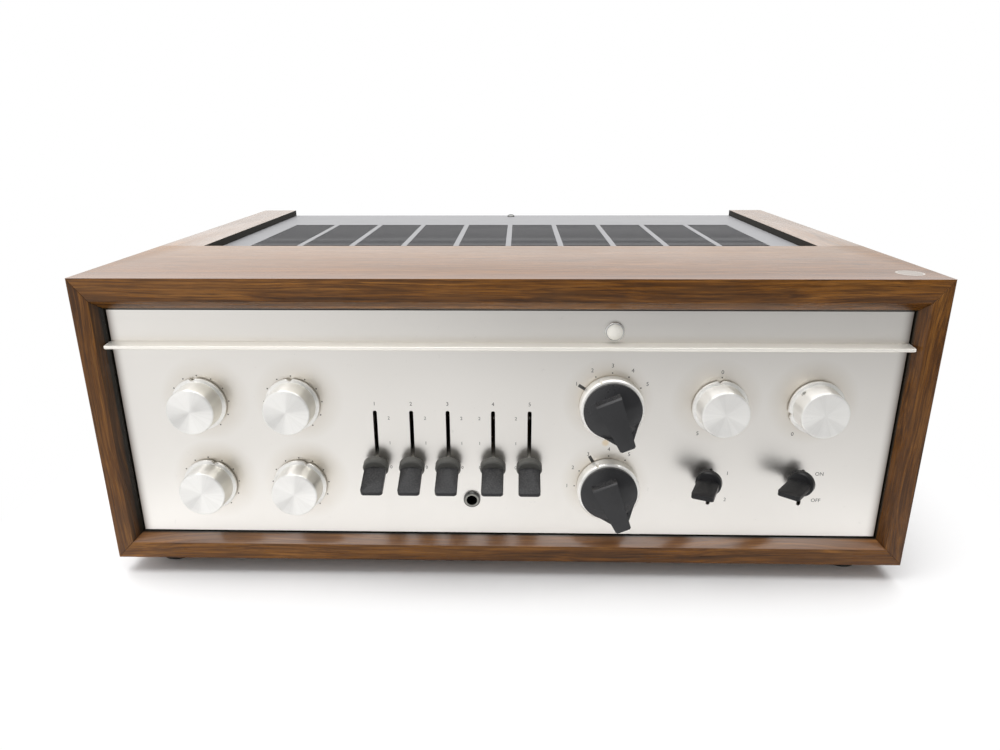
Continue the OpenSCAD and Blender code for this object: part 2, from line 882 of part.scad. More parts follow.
outlet_places = [for (i = [0 : 2]) [outlet_x - i * (outlet_w + outlet_gap), outlet_z]];
strip_x = outlet_places[2][0] - outlet_w / 2 - outlet_gap - 2 * strip_l - strip_gap;
fuse_at = [chassis_x - fuse_in_from_end, fuse_z];
bushing_at = [chassis_x - bushing_in_from_end, fuse_z];
bushing_neck_r = bushing_bore_d / 2 + bushing_lip;
fuse_lip = 1.5;
fuse_neck_r = fuse_d / 2 - fuse_lip;

module rear_panel() {
    color("dimgray") place() {
        difference() {
            box([-rear_x, rear_y, bottom_t], [rear_x, rear_face, rear_top]);
            for (p = phono_places)
                at_panel(p) rod_y(phono_stub_r + seat_room, rear_y - cut, rear_face + cut);
            at_panel(fuse_at) rod_y(fuse_neck_r + seat_room, rear_y - cut, rear_face + cut);
            at_panel(bushing_at) rod_y(bushing_neck_r + seat_room, rear_y - cut, rear_face + cut);
        }
        box([-tab_half, rear_y, rear_top - cut], [tab_half, rear_face, grille_low]);
        difference() {
            box([-tab_half, rear_y, grille_low - sheet_t], [tab_half, cab_d - 2 * grille_t, grille_low]);
            translate([0, grille_screws[2][1], 0]) cylinder(d = screw_d + seat_room, h = cab_h);
        }
    }
}

plate_gap = 0.4;
plate_slot_step = 14;
plate_slot_gap = 12;
plate_margin = 22;
plate_side = 10;

module bottom_plate() {
    lap = plate_lap - plate_gap;
    slot_step = plate_slot_l + plate_slot_gap;
    slot_cols = floor((2 * (bottom_x - plate_side) + plate_slot_gap) / slot_step);
    slot_n = floor((bottom_back - bottom_front - 2 * plate_margin) / plate_slot_step) + 1;
    color("gray") place() linear_extrude(plate_t) difference() {
        translate([-bottom_x - lap, bottom_front - lap])
            square([2 * (bottom_x + lap), bottom_back - bottom_front + 2 * lap]);
        for (c = [0 : slot_cols - 1], i = [0 : slot_n - 1])
            translate([
                (c - (slot_cols - 1) / 2) * slot_step - plate_slot_l / 2,
                bottom_front + plate_margin + i * plate_slot_step
            ])
                square([plate_slot_l, plate_slot_w]);
        for (p = plate_screws)
            translate(p) circle(d = screw_d + seat_room);
    }
}

foot_cone = 1;
foot_bevel = 1;

// Foot with a coned side, a recess for its screw and the screw's shank in the wood.
module feet() {
    low_r = foot_d / 2 - foot_cone;
    color("black") place() for (p = foot_places)
        translate([p[0], p[1], -foot_h]) {
            rotate_extrude() polygon([
                [screw_head_d / 2, 0], [low_r - foot_bevel, 0], [low_r, foot_bevel],
                [foot_d / 2, foot_h], [0, foot_h], [0, foot_h / 2], [screw_head_d / 2, foot_h / 2]
            ]);
            translate([0, 0, foot_h - cut]) cylinder(d = screw_d, h = screw_l);
        }
}

// Switches and potentiometers on the bulkhead.

// Threaded bushing with its nut, in front of the bulkhead.
module bushing() {
    rod_y(bushing_r, bulkhead_y - bushing_l, bulkhead_back);
    translate([0, bulkhead_y, 0]) rotate([90, 0, 0]) cylinder(d = nut_af / cos(30), h = nut_h, $fn = 6);
}

// Running bore for a control shaft.
module shaft_bore() {
    rod_y(shaft_r + shaft_play, bulkhead_y - bushing_l - cut, shaft_tail + slot_play);
}

module control_pots() {
    color("darkkhaki") place() for (p = pot_places)
        at_panel(p) difference() {
            union() {
                bushing();
                rod_y(pot_d / 2, bulkhead_back, bulkhead_back + pot_l);
                box(
                    [-lug_w / 2, bulkhead_back + lug_t, -pot_d / 2 - lug_drop],
                    [lug_w / 2, bulkhead_back + 2 * lug_t, 0]
                );
            }
            shaft_bore();
        }
}

module selector_switches() {
    detent_back = bulkhead_back + detent_h;
    color("tan") place() for (p = selector_places)
        at_panel(p) difference() {
            union() {
                bushing();
                rod_y(detent_d / 2, bulkhead_back, detent_back);
                for (i = [1, 2])
                    rod_y(wafer_d / 2, detent_back + i * wafer_step, detent_back + i * wafer_step + wafer_t);
                for (s = [-1, 1])
                    translate([s * post_x, 0, 0])
                        rod_y(post_r, bulkhead_back + cut, detent_back + 2 * wafer_step + post_end);
            }
            shaft_bore();
        }
}

// Frame of a swinging switch: two cheeks from the bulkhead, a pivot pin and the switch behind it.
module swing_switch(pivot_y, h) {
    inner = arm_t / 2 + cheek_gap;
    outer = inner + cheek_t;
    body_y = pivot_y + eye_r + hole_room;
    for (s = [0, 1])
        mirror([s, 0, 0]) box([inner, bulkhead_back, -h / 2], [outer, body_y + switch_d, h / 2]);
    box([-inner - cheek_t / 2, body_y, -h / 2], [inner + cheek_t / 2, body_y + switch_d, h / 2]);
    translate([0, pivot_y, 0]) rod_x(pin_r, -inner - cheek_t / 2, inner + cheek_t / 2);
}

module lever_switches() {
    color("peru") place() for (x = lever_places)
        at_panel([x, lever_z]) swing_switch(lever_y, switch_h);
}

module toggle_switches() {
    color("peru") place() for (x = toggle_places)
        at_panel([x, toggle_z]) swing_switch(toggle_y, switch_h);
}

// Transformers, tubes and capacitors on the deck.

bell_rim = 5;

// Core with a drawn end bell in front and behind.
module transformer(w, d, h) {
    rim = bell_rim;
    box([-w / 2, -d / 2, 0], [w / 2, d / 2, h]);
    for (s = [0, 1])
        mirror([0, s, 0]) intersection() {
            linear_extrude(h) polygon([
                [-w / 2 + rim, d / 2 - cut], [w / 2 - rim, d / 2 - cut], [w / 2 - rim, d / 2],
                [w / 2 - rim - bell_draft, d / 2 + bell_d], [-w / 2 + rim + bell_draft, d / 2 + bell_d],
                [-w / 2 + rim, d / 2]
            ]);
            along_x(-w / 2, w / 2) polygon([
                [d / 2 - cut, rim], [d / 2, rim], [d / 2 + bell_d, rim + bell_draft],
                [d / 2 + bell_d, h - rim - bell_draft], [d / 2, h - rim], [d / 2 - cut, h - rim]
            ]);
        }
}

module power_transformer() {
    color("darkslategray") place() translate([0, power_y, deck_z]) transformer(power_w, power_d, power_h);
}

module output_transformers() {
    color("darkslategray") place() for (s = [-1, 1])
        translate([s * output_x, output_y, deck_z]) transformer(output_w, output_d, output_h);
}

module socket(r) {
    translate([0, 0, deck_z]) cylinder(r = r + socket_rim, h = socket_h);
    translate([0, 0, deck_z - socket_drop]) cylinder(r = r, h = socket_drop + cut);
}

module tube_sockets() {
    color("ivory") place() {
        for (x = output_places)
            translate([x, output_tube_y, 0]) socket(socket_body_big);
        for (x = small_places)
            translate([x, small_tube_y, 0]) socket(socket_body_small);
    }
}

base_lip = 2;
waist_h = 4;
shoulder_h = 14;
output_crown = 14;

// Base, and a glass bulb from a waist to a round crown.
module output_tubes() {
    glass_r = output_glass_d / 2;
    base_r = output_base_d / 2;
    waist_r = base_r - base_lip;
    crown_z = output_tube_h - output_crown;
    color("lightcyan") place() for (x = output_places)
        translate([x, output_tube_y, deck_z + socket_h]) {
            cylinder(r = base_r, h = output_base_h);
            rotate_extrude() polygon([
                [0, output_base_h - cut], [waist_r, output_base_h - cut], [waist_r, output_base_h + waist_h],
                [glass_r, output_base_h + shoulder_h], [glass_r, crown_z], [0, crown_z]
            ]);
            translate([0, 0, crown_z]) dome(glass_r, output_crown);
        }
}

glass_round = 1;
small_crown = 7;
tip_r = 2;
tip_end_r = 0.6;
tip_h = 3;

// Glass with a round crown and the drawn tip where it was sealed.
module small_tubes() {
    glass_r = small_glass_d / 2;
    crown_z = small_tube_h - tip_h - small_crown;
    color("lightcyan") place() for (x = small_places)
        translate([x, small_tube_y, deck_z + socket_h]) {
            rotate_extrude() polygon([
                [0, 0], [glass_r - glass_round, 0], [glass_r, glass_round], [glass_r, crown_z], [0, crown_z]
            ]);
            translate([0, 0, crown_z]) dome(glass_r, small_crown);
            translate([0, 0, small_tube_h - tip_h - cut])
                cylinder(r1 = tip_r, r2 = tip_end_r, h = tip_h + cut);
        }
}

clamp_t = 1.5;
clamp_h = 8;

module filter_capacitors() {
    color("lightsteelblue") place() for (x = cap_places)
        translate([x, output_tube_y, deck_z]) {
            cylinder(d = cap_d, h = cap_h);
            cylinder(d = cap_d + 2 * clamp_t, h = clamp_h);
        }
}

// Connectors on the rear panel.

module phono_jacks() {
    color("silver") place() for (p = phono_places)
        at_panel(p) difference() {
            union() {
                rod_y(phono_d / 2, rear_face, rear_face + phono_l);
                rod_y(phono_d / 2 + phono_washer, rear_face, rear_face + phono_washer_t);
                rod_y(phono_stub_r, rear_y - phono_in, rear_face);
            }
            rod_y(phono_bore_r, rear_face + phono_washer_t, rear_face + phono_l + cut);
        }
}

module speaker_terminals() {
    color("black") place() for (s = [0, 1])
        translate([strip_x + s * (strip_l + strip_gap), rear_face, strip_z]) {
            box([0, 0, 0], [strip_l, strip_t, strip_h]);
            for (i = [0 : terminals - 1])
                translate([strip_l * (i + 0.5) / terminals, 0, strip_h / 2])
                    rod_y(terminal_r, cut, terminal_l);
        }
}

module fuse_holder() {
    color("black") place() at_panel(fuse_at) {
        rod_y(fuse_d / 2, rear_face, rear_face + fuse_l);
        rod_y(fuse_neck_r, rear_y - fuse_in, rear_face);
    }
}

module mains_outlets() {
    color("black") place() for (p = outlet_places)
        at_panel(p) difference() {
            box(
                [-outlet_w / 2, rear_face, -outlet_h / 2],
                [outlet_w / 2, rear_face + outlet_t, outlet_h / 2]
            );
            for (s = [-1, 1])
                box(
                    [s * blade_x - blade_w / 2, rear_face + outlet_floor, -blade_h / 2],
                    [s * blade_x + blade_w / 2, rear_face + outlet_t + cut, blade_h / 2]
                );
        }
}

module cord_bushing() {
    color("black") place() at_panel(bushing_at) difference() {
        union() {
            rod_y(bushing_neck_r + bushing_lip, rear_face, rear_face + bushing_out);
            rod_y(bushing_neck_r, rear_y - bushing_out, rear_face);
        }
        rod_y(bushing_bore_d / 2, rear_y - bushing_out - cut, rear_face + bushing_out + cut);
    }
}

// Turned knob with a skirt; turn is its rest angle.
module round_knob(p, turn) {
    skirt_r = skirt_d / 2;
    root_r = knob_d / 2;
    face_r = root_r - knob_draft / 2;
    color(alu) place() at_panel(p) rotate([0, turn, 0]) difference() {
        turned_y(knob_back) polygon([
            [0, 0], [skirt_r - corner_round, 0], [skirt_r, corner_round],
            [skirt_r, skirt_h - corner_round], [skirt_r - corner_round, skirt_h], [root_r, skirt_h],
            [face_r, knob_h - knob_edge], [face_r - knob_edge, knob_h],
            [face_r - 2 * knob_edge, knob_h], [0, knob_h - knob_dish]
        ]);
        along_y(knob_back - skirt_h - cut / 2, knob_back + cut)
            polygon([
                [-notch_w / 2, skirt_r + cut], [notch_w / 2, skirt_r + cut], [0, root_r + corner_round]
            ]);
        rod_y(shaft_r + grip_play, knob_shaft_tip - slot_play, knob_back + cut);
    }
}

module knob_shaft(p, tip) {
    color("lightgray") place() at_panel(p) rod_y(shaft_r, tip, shaft_tail);
}

module treble_left_knob() round_knob(treble_left_at, treble_left_rest);
module treble_left_shaft() knob_shaft(treble_left_at, knob_shaft_tip);
module treble_right_knob() round_knob(treble_right_at, treble_right_rest);
module treble_right_shaft() knob_shaft(treble_right_at, knob_shaft_tip);
module bass_left_knob() round_knob(bass_left_at, bass_left_rest);
module bass_left_shaft() knob_shaft(bass_left_at, knob_shaft_tip);
module bass_right_knob() round_knob(bass_right_at, bass_right_rest);
module bass_right_shaft() knob_shaft(bass_right_at, knob_shaft_tip);
module balance_knob() round_knob(balance_at, balance_rest);
module balance_shaft() knob_shaft(balance_at, knob_shaft_tip);
module volume_knob() round_knob(volume_at, volume_rest);
module volume_shaft() knob_shaft(volume_at, knob_shaft_tip);

// Silver drum of a selector, with an index notch at its rim.
module selector_drum(p) {
    r = drum_d / 2;
    color(alu) place() at_panel(p) rotate([0, selector_rest, 0]) difference() {
        turned_y(knob_back) polygon([
            [0, 0], [r - corner_round, 0], [r, corner_round], [r, drum_h - 2 * corner_round],
            [r - 2 * corner_round, drum_h], [0, drum_h]
        ]);
        along_y(drum_front - cut, drum_front + drum_h / 2)
            polygon([[-notch_w / 2, r + cut], [notch_w / 2, r + cut], [0, pointer_r + corner_round]]);
        rod_y(shaft_r + grip_play, drum_front - cut, knob_back + cut);
    }
}

grip_corner = 1;
// How far the line of a flank cuts into the round base, so that the two cross cleanly
flank_bite = 0.4;

// Black pointer knob: domed round base, flanks that run into the tail, and a raised grip.
module selector_pointer(p) {
    flank_z = -grip_reach + grip_corner;
    flank_r = pointer_r - flank_bite;
    flank_a = acos((flank_r - grip_w / 2) / grip_reach);
    color(black) place() at_panel(p) rotate([0, selector_rest, 0]) difference() {
        union() {
            rod_y(pointer_r, drum_front - pointer_edge, drum_front);
            dome_y(pointer_r, pointer_dome - pointer_edge, drum_front - pointer_edge);
            along_y(drum_front - pointer_edge, drum_front) polygon([
                [-grip_w / 2, flank_z], [grip_w / 2, flank_z],
                [flank_r * sin(flank_a), -flank_r * cos(flank_a)],
                [-flank_r * sin(flank_a), -flank_r * cos(flank_a)]
            ]);
            intersection() {
                along_y(pointer_front, drum_front) polygon([
                    [-grip_w / 2, flank_z], [-grip_w / 2 + grip_corner, -grip_reach],
                    [grip_w / 2 - grip_corner, -grip_reach], [grip_w / 2, flank_z],
                    [grip_back_w / 2, grip_back], [-grip_back_w / 2, grip_back]
                ]);
                along_x(-drum_d / 2, drum_d / 2) polygon([
                    [drum_front, -grip_reach], [drum_front - tail_h, -grip_reach],
                    [pointer_front, grip_back - grip_corner], [pointer_front + grip_corner, grip_back],
                    [drum_front, grip_back]
                ]);
            }
        }
        rod_y(shaft_r + grip_play, selector_shaft_tip - slot_play, drum_front + cut);
    }
}

module input_selector_drum() selector_drum(input_at);
module input_selector_pointer() selector_pointer(input_at);
module input_selector_shaft() knob_shaft(input_at, selector_shaft_tip);
module mode_selector_drum() selector_drum(mode_at);
module mode_selector_pointer() selector_pointer(mode_at);
module mode_selector_shaft() knob_shaft(mode_at, selector_shaft_tip);

// Levers and toggles, drawn level with the pivot at the origin and the tip towards -Y.

// Metal strip with an eye for its pin.
module strip(l, h) {
    difference() {
        union() {
            box([-arm_t / 2, -l, -h / 2], [arm_t / 2, 0, h / 2]);
            rod_x(eye_r, -arm_t / 2, arm_t / 2);
        }
        rod_x(pin_r + pin_play, -arm_t, arm_t);
    }
}

// Plan of the tab with round corners at its tip.
module tab_plan(y_tip) {
    h = tab_root + tab_tip;
    translate([0, 0, -h / 2]) {
        box([-tab_w / 2, y_tip + tab_corner, 0], [tab_w / 2, 0, h]);
        box([-tab_w / 2 + tab_corner, y_tip, 0], [tab_w / 2 - tab_corner, 0, h]);
        for (s = [-1, 1])
            translate([s * (tab_w / 2 - tab_corner), y_tip + tab_corner, 0])
                cylinder(r = tab_corner, h = h);
    }
}

disc_edge = 0.7;
tab_camber_r = 12;
tab_camber_drop = 0.3;

// Disc with a tapering tab that is arched at its root; the disc's rear face is at the origin.
module paddle_form() {
    y_tip = -paddle_l;
    disc_r = disc_d / 2;
    camber_z = tab_root / 2 - tab_camber_drop - tab_camber_r;
    turned_y(0) polygon([
        [0, 0], [disc_r, 0], [disc_r, disc_t - disc_edge], [disc_r - disc_edge, disc_t], [0, disc_t]
    ]);
    intersection() {
        along_x(-tab_w / 2, tab_w / 2) polygon([
            [-cut, -tab_root / 2], [y_tip, -tab_tip / 2], [y_tip, tab_tip / 2], [-cut, tab_root / 2]
        ]);
        tab_plan(y_tip);
        translate([0, 0, camber_z]) rod_y(tab_camber_r, y_tip - cut, cut);
        translate([0, 0, -camber_z]) rod_y(tab_camber_r, y_tip - cut, cut);
    }
}

module lever_place(i) {
    place() translate([lever_places[i], lever_y, lever_z]) rotate([lever_tilt, 0, 0]) children();
}

module lever_arm(i) {
    color("lightgray") lever_place(i) strip(disc_reach + arm_seat, arm_h);
}

module lever_paddle(i) {
    fit = grip_play;
    color(black) lever_place(i) translate([0, -disc_reach, 0]) difference() {
        paddle_form();
        box(
            [-arm_t / 2 - fit, -arm_seat - slot_play, -arm_h / 2 - fit],
            [arm_t / 2 + fit, cut, arm_h / 2 + fit]
        );
    }
}

module bass_turnover_arm() lever_arm(0);
module bass_turnover_paddle() lever_paddle(0);
module treble_turnover_arm() lever_arm(1);
module treble_turnover_paddle() lever_paddle(1);
module tape_monitor_arm() lever_arm(2);
module tape_monitor_paddle() lever_paddle(2);
module low_cut_arm() lever_arm(3);
module low_cut_paddle() lever_paddle(3);
module high_cut_arm() lever_arm(4);
module high_cut_paddle() lever_paddle(4);

// Toggle in its upper position, with its cap turned to the left.
module toggle(x, turn) {
    color(black) place() translate([x, toggle_y, toggle_z]) {
        rotate([-toggle_tilt, 0, 0]) strip(toggle_reach + disc_t, bat_h);
        translate([-cap_shift, toggle_disc_y - toggle_y, toggle_reach * sin(toggle_tilt)])
            rotate([0, 0, -turn]) rotate([cap_fall, 0, 0]) paddle_form();
    }
}

module speaker_toggle() toggle(speaker_x, speaker_turn);
module power_toggle() toggle(power_x, power_turn);

top_board();
left_side_panel();
right_side_panel();
bottom_board();
front_panel();
trim_bar();
pilot_bezel();
pilot_lens();
top_grille();
case_screws();
chassis();
rear_panel();
bottom_plate();
feet();
control_pots();
selector_switches();
lever_switches();
toggle_switches();
headphone_jack();
power_transformer();
output_transformers();
tube_sockets();
output_tubes();
small_tubes();
filter_capacitors();
phono_jacks();
speaker_terminals();
fuse_holder();
mains_outlets();
cord_bushing();
treble_left_knob();
treble_left_shaft();
treble_right_knob();
treble_right_shaft();
bass_left_knob();
bass_left_shaft();
bass_right_knob();
bass_right_shaft();
balance_knob();
balance_shaft();
volume_knob();
volume_shaft();
input_selector_drum();
input_selector_pointer();
input_selector_shaft();
mode_selector_drum();
mode_selector_pointer();
mode_selector_shaft();
bass_turnover_arm();
bass_turnover_paddle();
treble_turnover_arm();
treble_turnover_paddle();
tape_monitor_arm();
tape_monitor_paddle();
low_cut_arm();
low_cut_paddle();
high_cut_arm();
high_cut_paddle();
speaker_toggle();
power_toggle();
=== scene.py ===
import json
import math

import bpy
from mathutils import Matrix, Vector

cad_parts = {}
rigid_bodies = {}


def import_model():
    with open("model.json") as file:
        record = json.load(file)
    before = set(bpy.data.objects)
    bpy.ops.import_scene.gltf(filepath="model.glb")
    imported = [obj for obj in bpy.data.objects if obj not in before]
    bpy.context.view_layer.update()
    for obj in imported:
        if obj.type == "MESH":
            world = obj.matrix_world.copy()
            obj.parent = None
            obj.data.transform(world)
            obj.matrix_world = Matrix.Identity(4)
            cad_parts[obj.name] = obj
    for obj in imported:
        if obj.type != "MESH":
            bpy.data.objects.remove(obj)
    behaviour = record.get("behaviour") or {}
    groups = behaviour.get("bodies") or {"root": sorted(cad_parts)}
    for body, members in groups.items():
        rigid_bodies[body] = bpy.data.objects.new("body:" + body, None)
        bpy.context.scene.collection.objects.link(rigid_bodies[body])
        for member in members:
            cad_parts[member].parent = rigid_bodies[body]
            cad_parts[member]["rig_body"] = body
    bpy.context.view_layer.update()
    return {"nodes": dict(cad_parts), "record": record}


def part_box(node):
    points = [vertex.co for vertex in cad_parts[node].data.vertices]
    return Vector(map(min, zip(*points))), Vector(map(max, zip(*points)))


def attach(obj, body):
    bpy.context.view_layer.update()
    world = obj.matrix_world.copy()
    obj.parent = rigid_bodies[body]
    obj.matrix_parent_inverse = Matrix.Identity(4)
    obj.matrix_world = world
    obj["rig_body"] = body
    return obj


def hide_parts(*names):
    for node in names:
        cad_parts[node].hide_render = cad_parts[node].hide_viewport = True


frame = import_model()
nodes = frame["nodes"]
scene = bpy.context.scene
MM = 0.001
sunk = 0.1 * MM  # how deep a small piece is let into the face that carries it


# Places that the CAD gives: faces of the case and axes of the controls

panel_low, panel_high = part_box("front_panel")
panel_face = panel_low.y
wood_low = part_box("bottom_board")[0]
wood_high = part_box("top_board")[1]
wood_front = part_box("top_board")[0].y
grille_low, grille_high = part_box("top_grille")

selectors = ("input_selector", "mode_selector")
tone_dials = ("treble_left", "treble_right", "bass_left", "bass_right")
dials = (*tone_dials, "balance", "volume", *selectors)
levers = ("bass_turnover", "treble_turnover", "tape_monitor", "low_cut", "high_cut")
lever_tilt = 24.2
lever_aim = Matrix.Rotation(math.radians(lever_tilt), 3, "X") @ Vector((0, -1, 0))


def middle(node):
    """The middle of a node's box."""
    low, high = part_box(node)
    return (low + high) / 2


def axis_of(control):
    """Where a control's shaft meets the front of the panel."""
    shaft = middle(control + "_shaft")
    return Vector((shaft.x, panel_face, shaft.z))


def body_of(node):
    """The body that a CAD node rides on."""
    return nodes[node]["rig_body"]


# Bench: small helpers for modelling by hand

def fresh():
    """Nothing is selected."""
    if bpy.context.object and bpy.context.object.mode != "OBJECT":
        bpy.ops.object.mode_set(mode="OBJECT")
    bpy.ops.object.select_all(action="DESELECT")


def hold(piece):
    """Only this piece is selected."""
    fresh()
    piece.select_set(True)
    bpy.context.view_layer.objects.active = piece
    return piece


def named(name):
    """The piece just made gets its name."""
    piece = bpy.context.active_object
    piece.name = name
    piece.data.name = name
    return piece


def settle():
    """The place of the held piece goes into its mesh."""
    bpy.ops.object.transform_apply(location=True, rotation=True, scale=True)


def open_mesh():
    """Edit mode on the held piece, with all of it selected."""
    bpy.ops.object.mode_set(mode="EDIT")
    bpy.ops.mesh.select_all(action="SELECT")


def close_mesh():
    bpy.ops.object.mode_set(mode="OBJECT")


def block(name, low, high):
    """A box between two corners, in metres."""
    fresh()
    bpy.ops.mesh.primitive_cube_add(size=1, location=(Vector(low) + Vector(high)) / 2)
    piece = named(name)
    piece.scale = Vector(high) - Vector(low)
    settle()
    return piece


def lathe(name, stations, segments=96):
    """A turned piece on the Y axis: a disc is drawn out to the front, by radius and distance in mm."""
    fresh()
    radius, out = stations[0]
    bpy.ops.mesh.primitive_circle_add(
        vertices=segments, radius=radius * MM, fill_type="NGON",
        location=(0, -out * MM, 0), rotation=(math.pi / 2, 0, 0),
    )
    piece = named(name)
    settle()
    open_mesh()
    for next_radius, next_out in stations[1:]:
        bpy.ops.mesh.extrude_region_move(
            TRANSFORM_OT_translate={"value": (0, (out - next_out) * MM, 0)}
        )
        if next_radius != radius:
            grow = next_radius / radius
            bpy.ops.transform.resize(value=(grow, 1, grow), center_override=(0, -next_out * MM, 0))
        radius, out = next_radius, next_out
    bpy.ops.mesh.select_all(action="SELECT")
    bpy.ops.mesh.remove_doubles(threshold=1e-7)
    bpy.ops.mesh.normals_make_consistent(inside=False)
    close_mesh()
    return piece


def stand(piece):
    """A turned piece is stood upright: what pointed to the front points up."""
    hold(piece)
    piece.rotation_euler = (-math.pi / 2, 0, 0)
    settle()
    return piece


def put(piece, place, turn=0.0):
    """Turns a piece about the Y axis and moves it from the origin to its place."""
    hold(piece)
    piece.rotation_euler = (0, math.radians(turn), 0)
    piece.location = place
    settle()
    return piece


def another(piece, name):
    """A copy of a piece with a mesh of its own."""
    copy = bpy.data.objects.new(name, piece.data.copy())
    copy.data.name = name
    scene.collection.objects.link(copy)
    return copy


def joined(pieces, name):
    """Several pieces as one."""
    fresh()
    for piece in pieces:
        piece.select_set(True)
    bpy.context.view_layer.objects.active = pieces[0]
    if len(pieces) > 1:
        bpy.ops.object.join()
    return named(name)


def smooth(piece, degrees=35):
    """Smooth shading, apart from edges sharper than the angle."""
    hold(piece)
    bpy.ops.object.shade_smooth_by_angle(angle=math.radians(degrees))
    return piece


def eased(piece, width, steps=2, degrees=35):
    """Rounds the sharp edges of a piece, width in mm."""
    hold(piece)
    bevel = piece.modifiers.new("ease", "BEVEL")
    bevel.width = width * MM
    bevel.segments = steps
    bevel.limit_method = "ANGLE"
    bevel.angle_limit = math.radians(degrees)
    bpy.ops.object.modifier_apply(modifier=bevel.name)
    return piece


def carved(piece, tool, action="DIFFERENCE"):
    """Cuts a tool out of a piece, or unites the two, and puts the tool away."""
    hold(piece)
    cut = piece.modifiers.new("cut", "BOOLEAN")
    cut.operation = action
    cut.solver = "EXACT"
    cut.object = tool
    bpy.ops.object.modifier_apply(modifier=cut.name)
    bpy.data.objects.remove(tool)
    return piece


def cad_copy(node, name):
    """A clean copy of a CAD node: merged, with one face for each flat side."""
    fresh()
    piece = bpy.data.objects.new(name, nodes[node].data.copy())
    piece.data.name = name
    piece.data.materials.clear()
    scene.collection.objects.link(piece)
    hold(piece)
    open_mesh()
    bpy.ops.mesh.remove_doubles(threshold=1e-6)
    bpy.ops.mesh.dissolve_limited(angle_limit=math.radians(0.4))
    close_mesh()
    return piece


def solids_of(node):
    """Lowest and highest corner of each separate solid in a node, from left to right."""
    cad_copy(node, "measured")
    open_mesh()
    bpy.ops.mesh.separate(type="LOOSE")
    close_mesh()
    found = []
    for solid in list(bpy.context.selected_objects):
        spots = [v.co for v in solid.data.vertices]
        found.append([Vector([pick(s[i] for s in spots) for i in range(3)]) for pick in (min, max)])
        bpy.data.objects.remove(solid)
    return sorted(found, key=lambda ends: (round(ends[0].x, 4), round(ends[0].y, 4), round(ends[0].z, 4)))


def face_rear(piece):
    """A turned piece looks to the rear instead of the front."""
    hold(piece)
    piece.rotation_euler = (0, 0, math.pi)
    settle()
    return piece


def ring(name, outer, inner, thick):
    """A flat ring with an eased rim, on the Y axis, sizes in mm."""
    disc = lathe(name, [(outer, 0.0), (outer, thick * 0.7), (outer - thick * 0.3, thick)], 48)
    return carved(disc, lathe("hole_tool", [(inner, -1.0), (inner, thick + 1.0)], 48))


def finish_piece(piece, body, material, stands_for=()):
    """Gives a piece its finish and sets it on its body."""
    piece.data.materials.clear()
    piece.data.materials.append(material)
    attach(piece, body)
    for node in stands_for:
        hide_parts(node)
    return piece


def dressed(node, material, slot, width, steps=2, degrees=35):
    """A CAD node with eased edges, standing for it."""
    piece = cad_copy(node, node + "_dressed")
    eased(piece, width, steps, degrees)
    smooth(piece, degrees)
    return finish_piece(piece, body_of(node), material, [node])


def mark_axis(piece, centre):
    """Keeps each point's place from the turning axis, for the rings of a spun finish."""
    kept_place = piece.data.attributes.new("from_axis", "FLOAT_VECTOR", "POINT")
    spots = [x for v in piece.data.vertices for x in v.co - Vector(centre)]
    kept_place.data.foreach_set("vector", spots)


# Node bench

def feed(tree, socket, value):
    """A socket takes a link from another socket, or a plain value."""
    if isinstance(value, bpy.types.NodeSocket):
        tree.links.new(value, socket)
    else:
        socket.default_value = value


def add(tree, kind, plugs=None, **settings):
    """A shader node; plugs are values or sockets for its inputs."""
    node = tree.nodes.new("ShaderNode" + kind)
    for key, value in settings.items():
        setattr(node, key, value)
    for key, value in (plugs or {}).items():
        feed(tree, node.inputs[key], value)
    return node


def math_of(tree, action, a, b=0.0, c=0.0, clamp=False):
    return add(tree, "Math", {0: a, 1: b, 2: c}, operation=action, use_clamp=clamp).outputs[0]


def times(tree, a, b):
    return math_of(tree, "MULTIPLY", a, b)


def vector_of(tree, action, *plugs):
    return add(tree, "VectorMath", dict(enumerate(plugs)), operation=action).outputs[0]


def measure_of(tree, action, *plugs):
    return add(tree, "VectorMath", dict(enumerate(plugs)), operation=action).outputs["Value"]


def scaled(tree, vector, size):
    return add(tree, "VectorMath", {0: vector, "Scale": size}, operation="SCALE").outputs[0]


def parts_of(tree, vector):
    """X, Y and Z of a vector."""
    return add(tree, "SeparateXYZ", {0: vector}).outputs


def upward(tree):
    """How far a face looks up: the height of its normal."""
    return parts_of(tree, add(tree, "NewGeometry").outputs["Normal"])[2]


def ranged(tree, value, low, high, to_low=0.0, to_high=1.0):
    """A value between low and high, carried over to between to_low and to_high."""
    plugs = {"Value": value, "From Min": low, "From Max": high, "To Min": to_low, "To Max": to_high}
    return add(tree, "MapRange", plugs).outputs[0]


def mixed(tree, share, first, second):
    """Two colours mixed by a share; a colour is three numbers or a socket."""
    node = add(tree, "Mix", data_type="RGBA")
    for socket, value in ((node.inputs[0], share), (node.inputs[6], first), (node.inputs[7], second)):
        plain = isinstance(value, (float, bpy.types.NodeSocket))
        feed(tree, socket, value if plain else (*value, 1))
    return node.outputs[2]


def stretched(tree, vector, scale):
    return add(tree, "Mapping", {"Vector": vector, "Scale": scale}).outputs[0]


def noise(tree, vector, detail=3.0, rough=0.55):
    plugs = {"Vector": vector, "Scale": 1.0, "Detail": detail, "Roughness": rough}
    return add(tree, "TexNoise", plugs).outputs[0]


def group(name, plugs, results):
    """A new shader node group with named inputs and outputs: (tree, inputs, outputs)."""
    tree = bpy.data.node_groups.new(name, "ShaderNodeTree")
    for title, kind, value in plugs:
        socket = tree.interface.new_socket(name=title, in_out="INPUT", socket_type="NodeSocket" + kind)
        if value is not None:
            socket.default_value = value
    for title, kind in results:
        tree.interface.new_socket(name=title, in_out="OUTPUT", socket_type="NodeSocket" + kind)
    return tree, tree.nodes.new("NodeGroupInput").outputs, tree.nodes.new("NodeGroupOutput").inputs


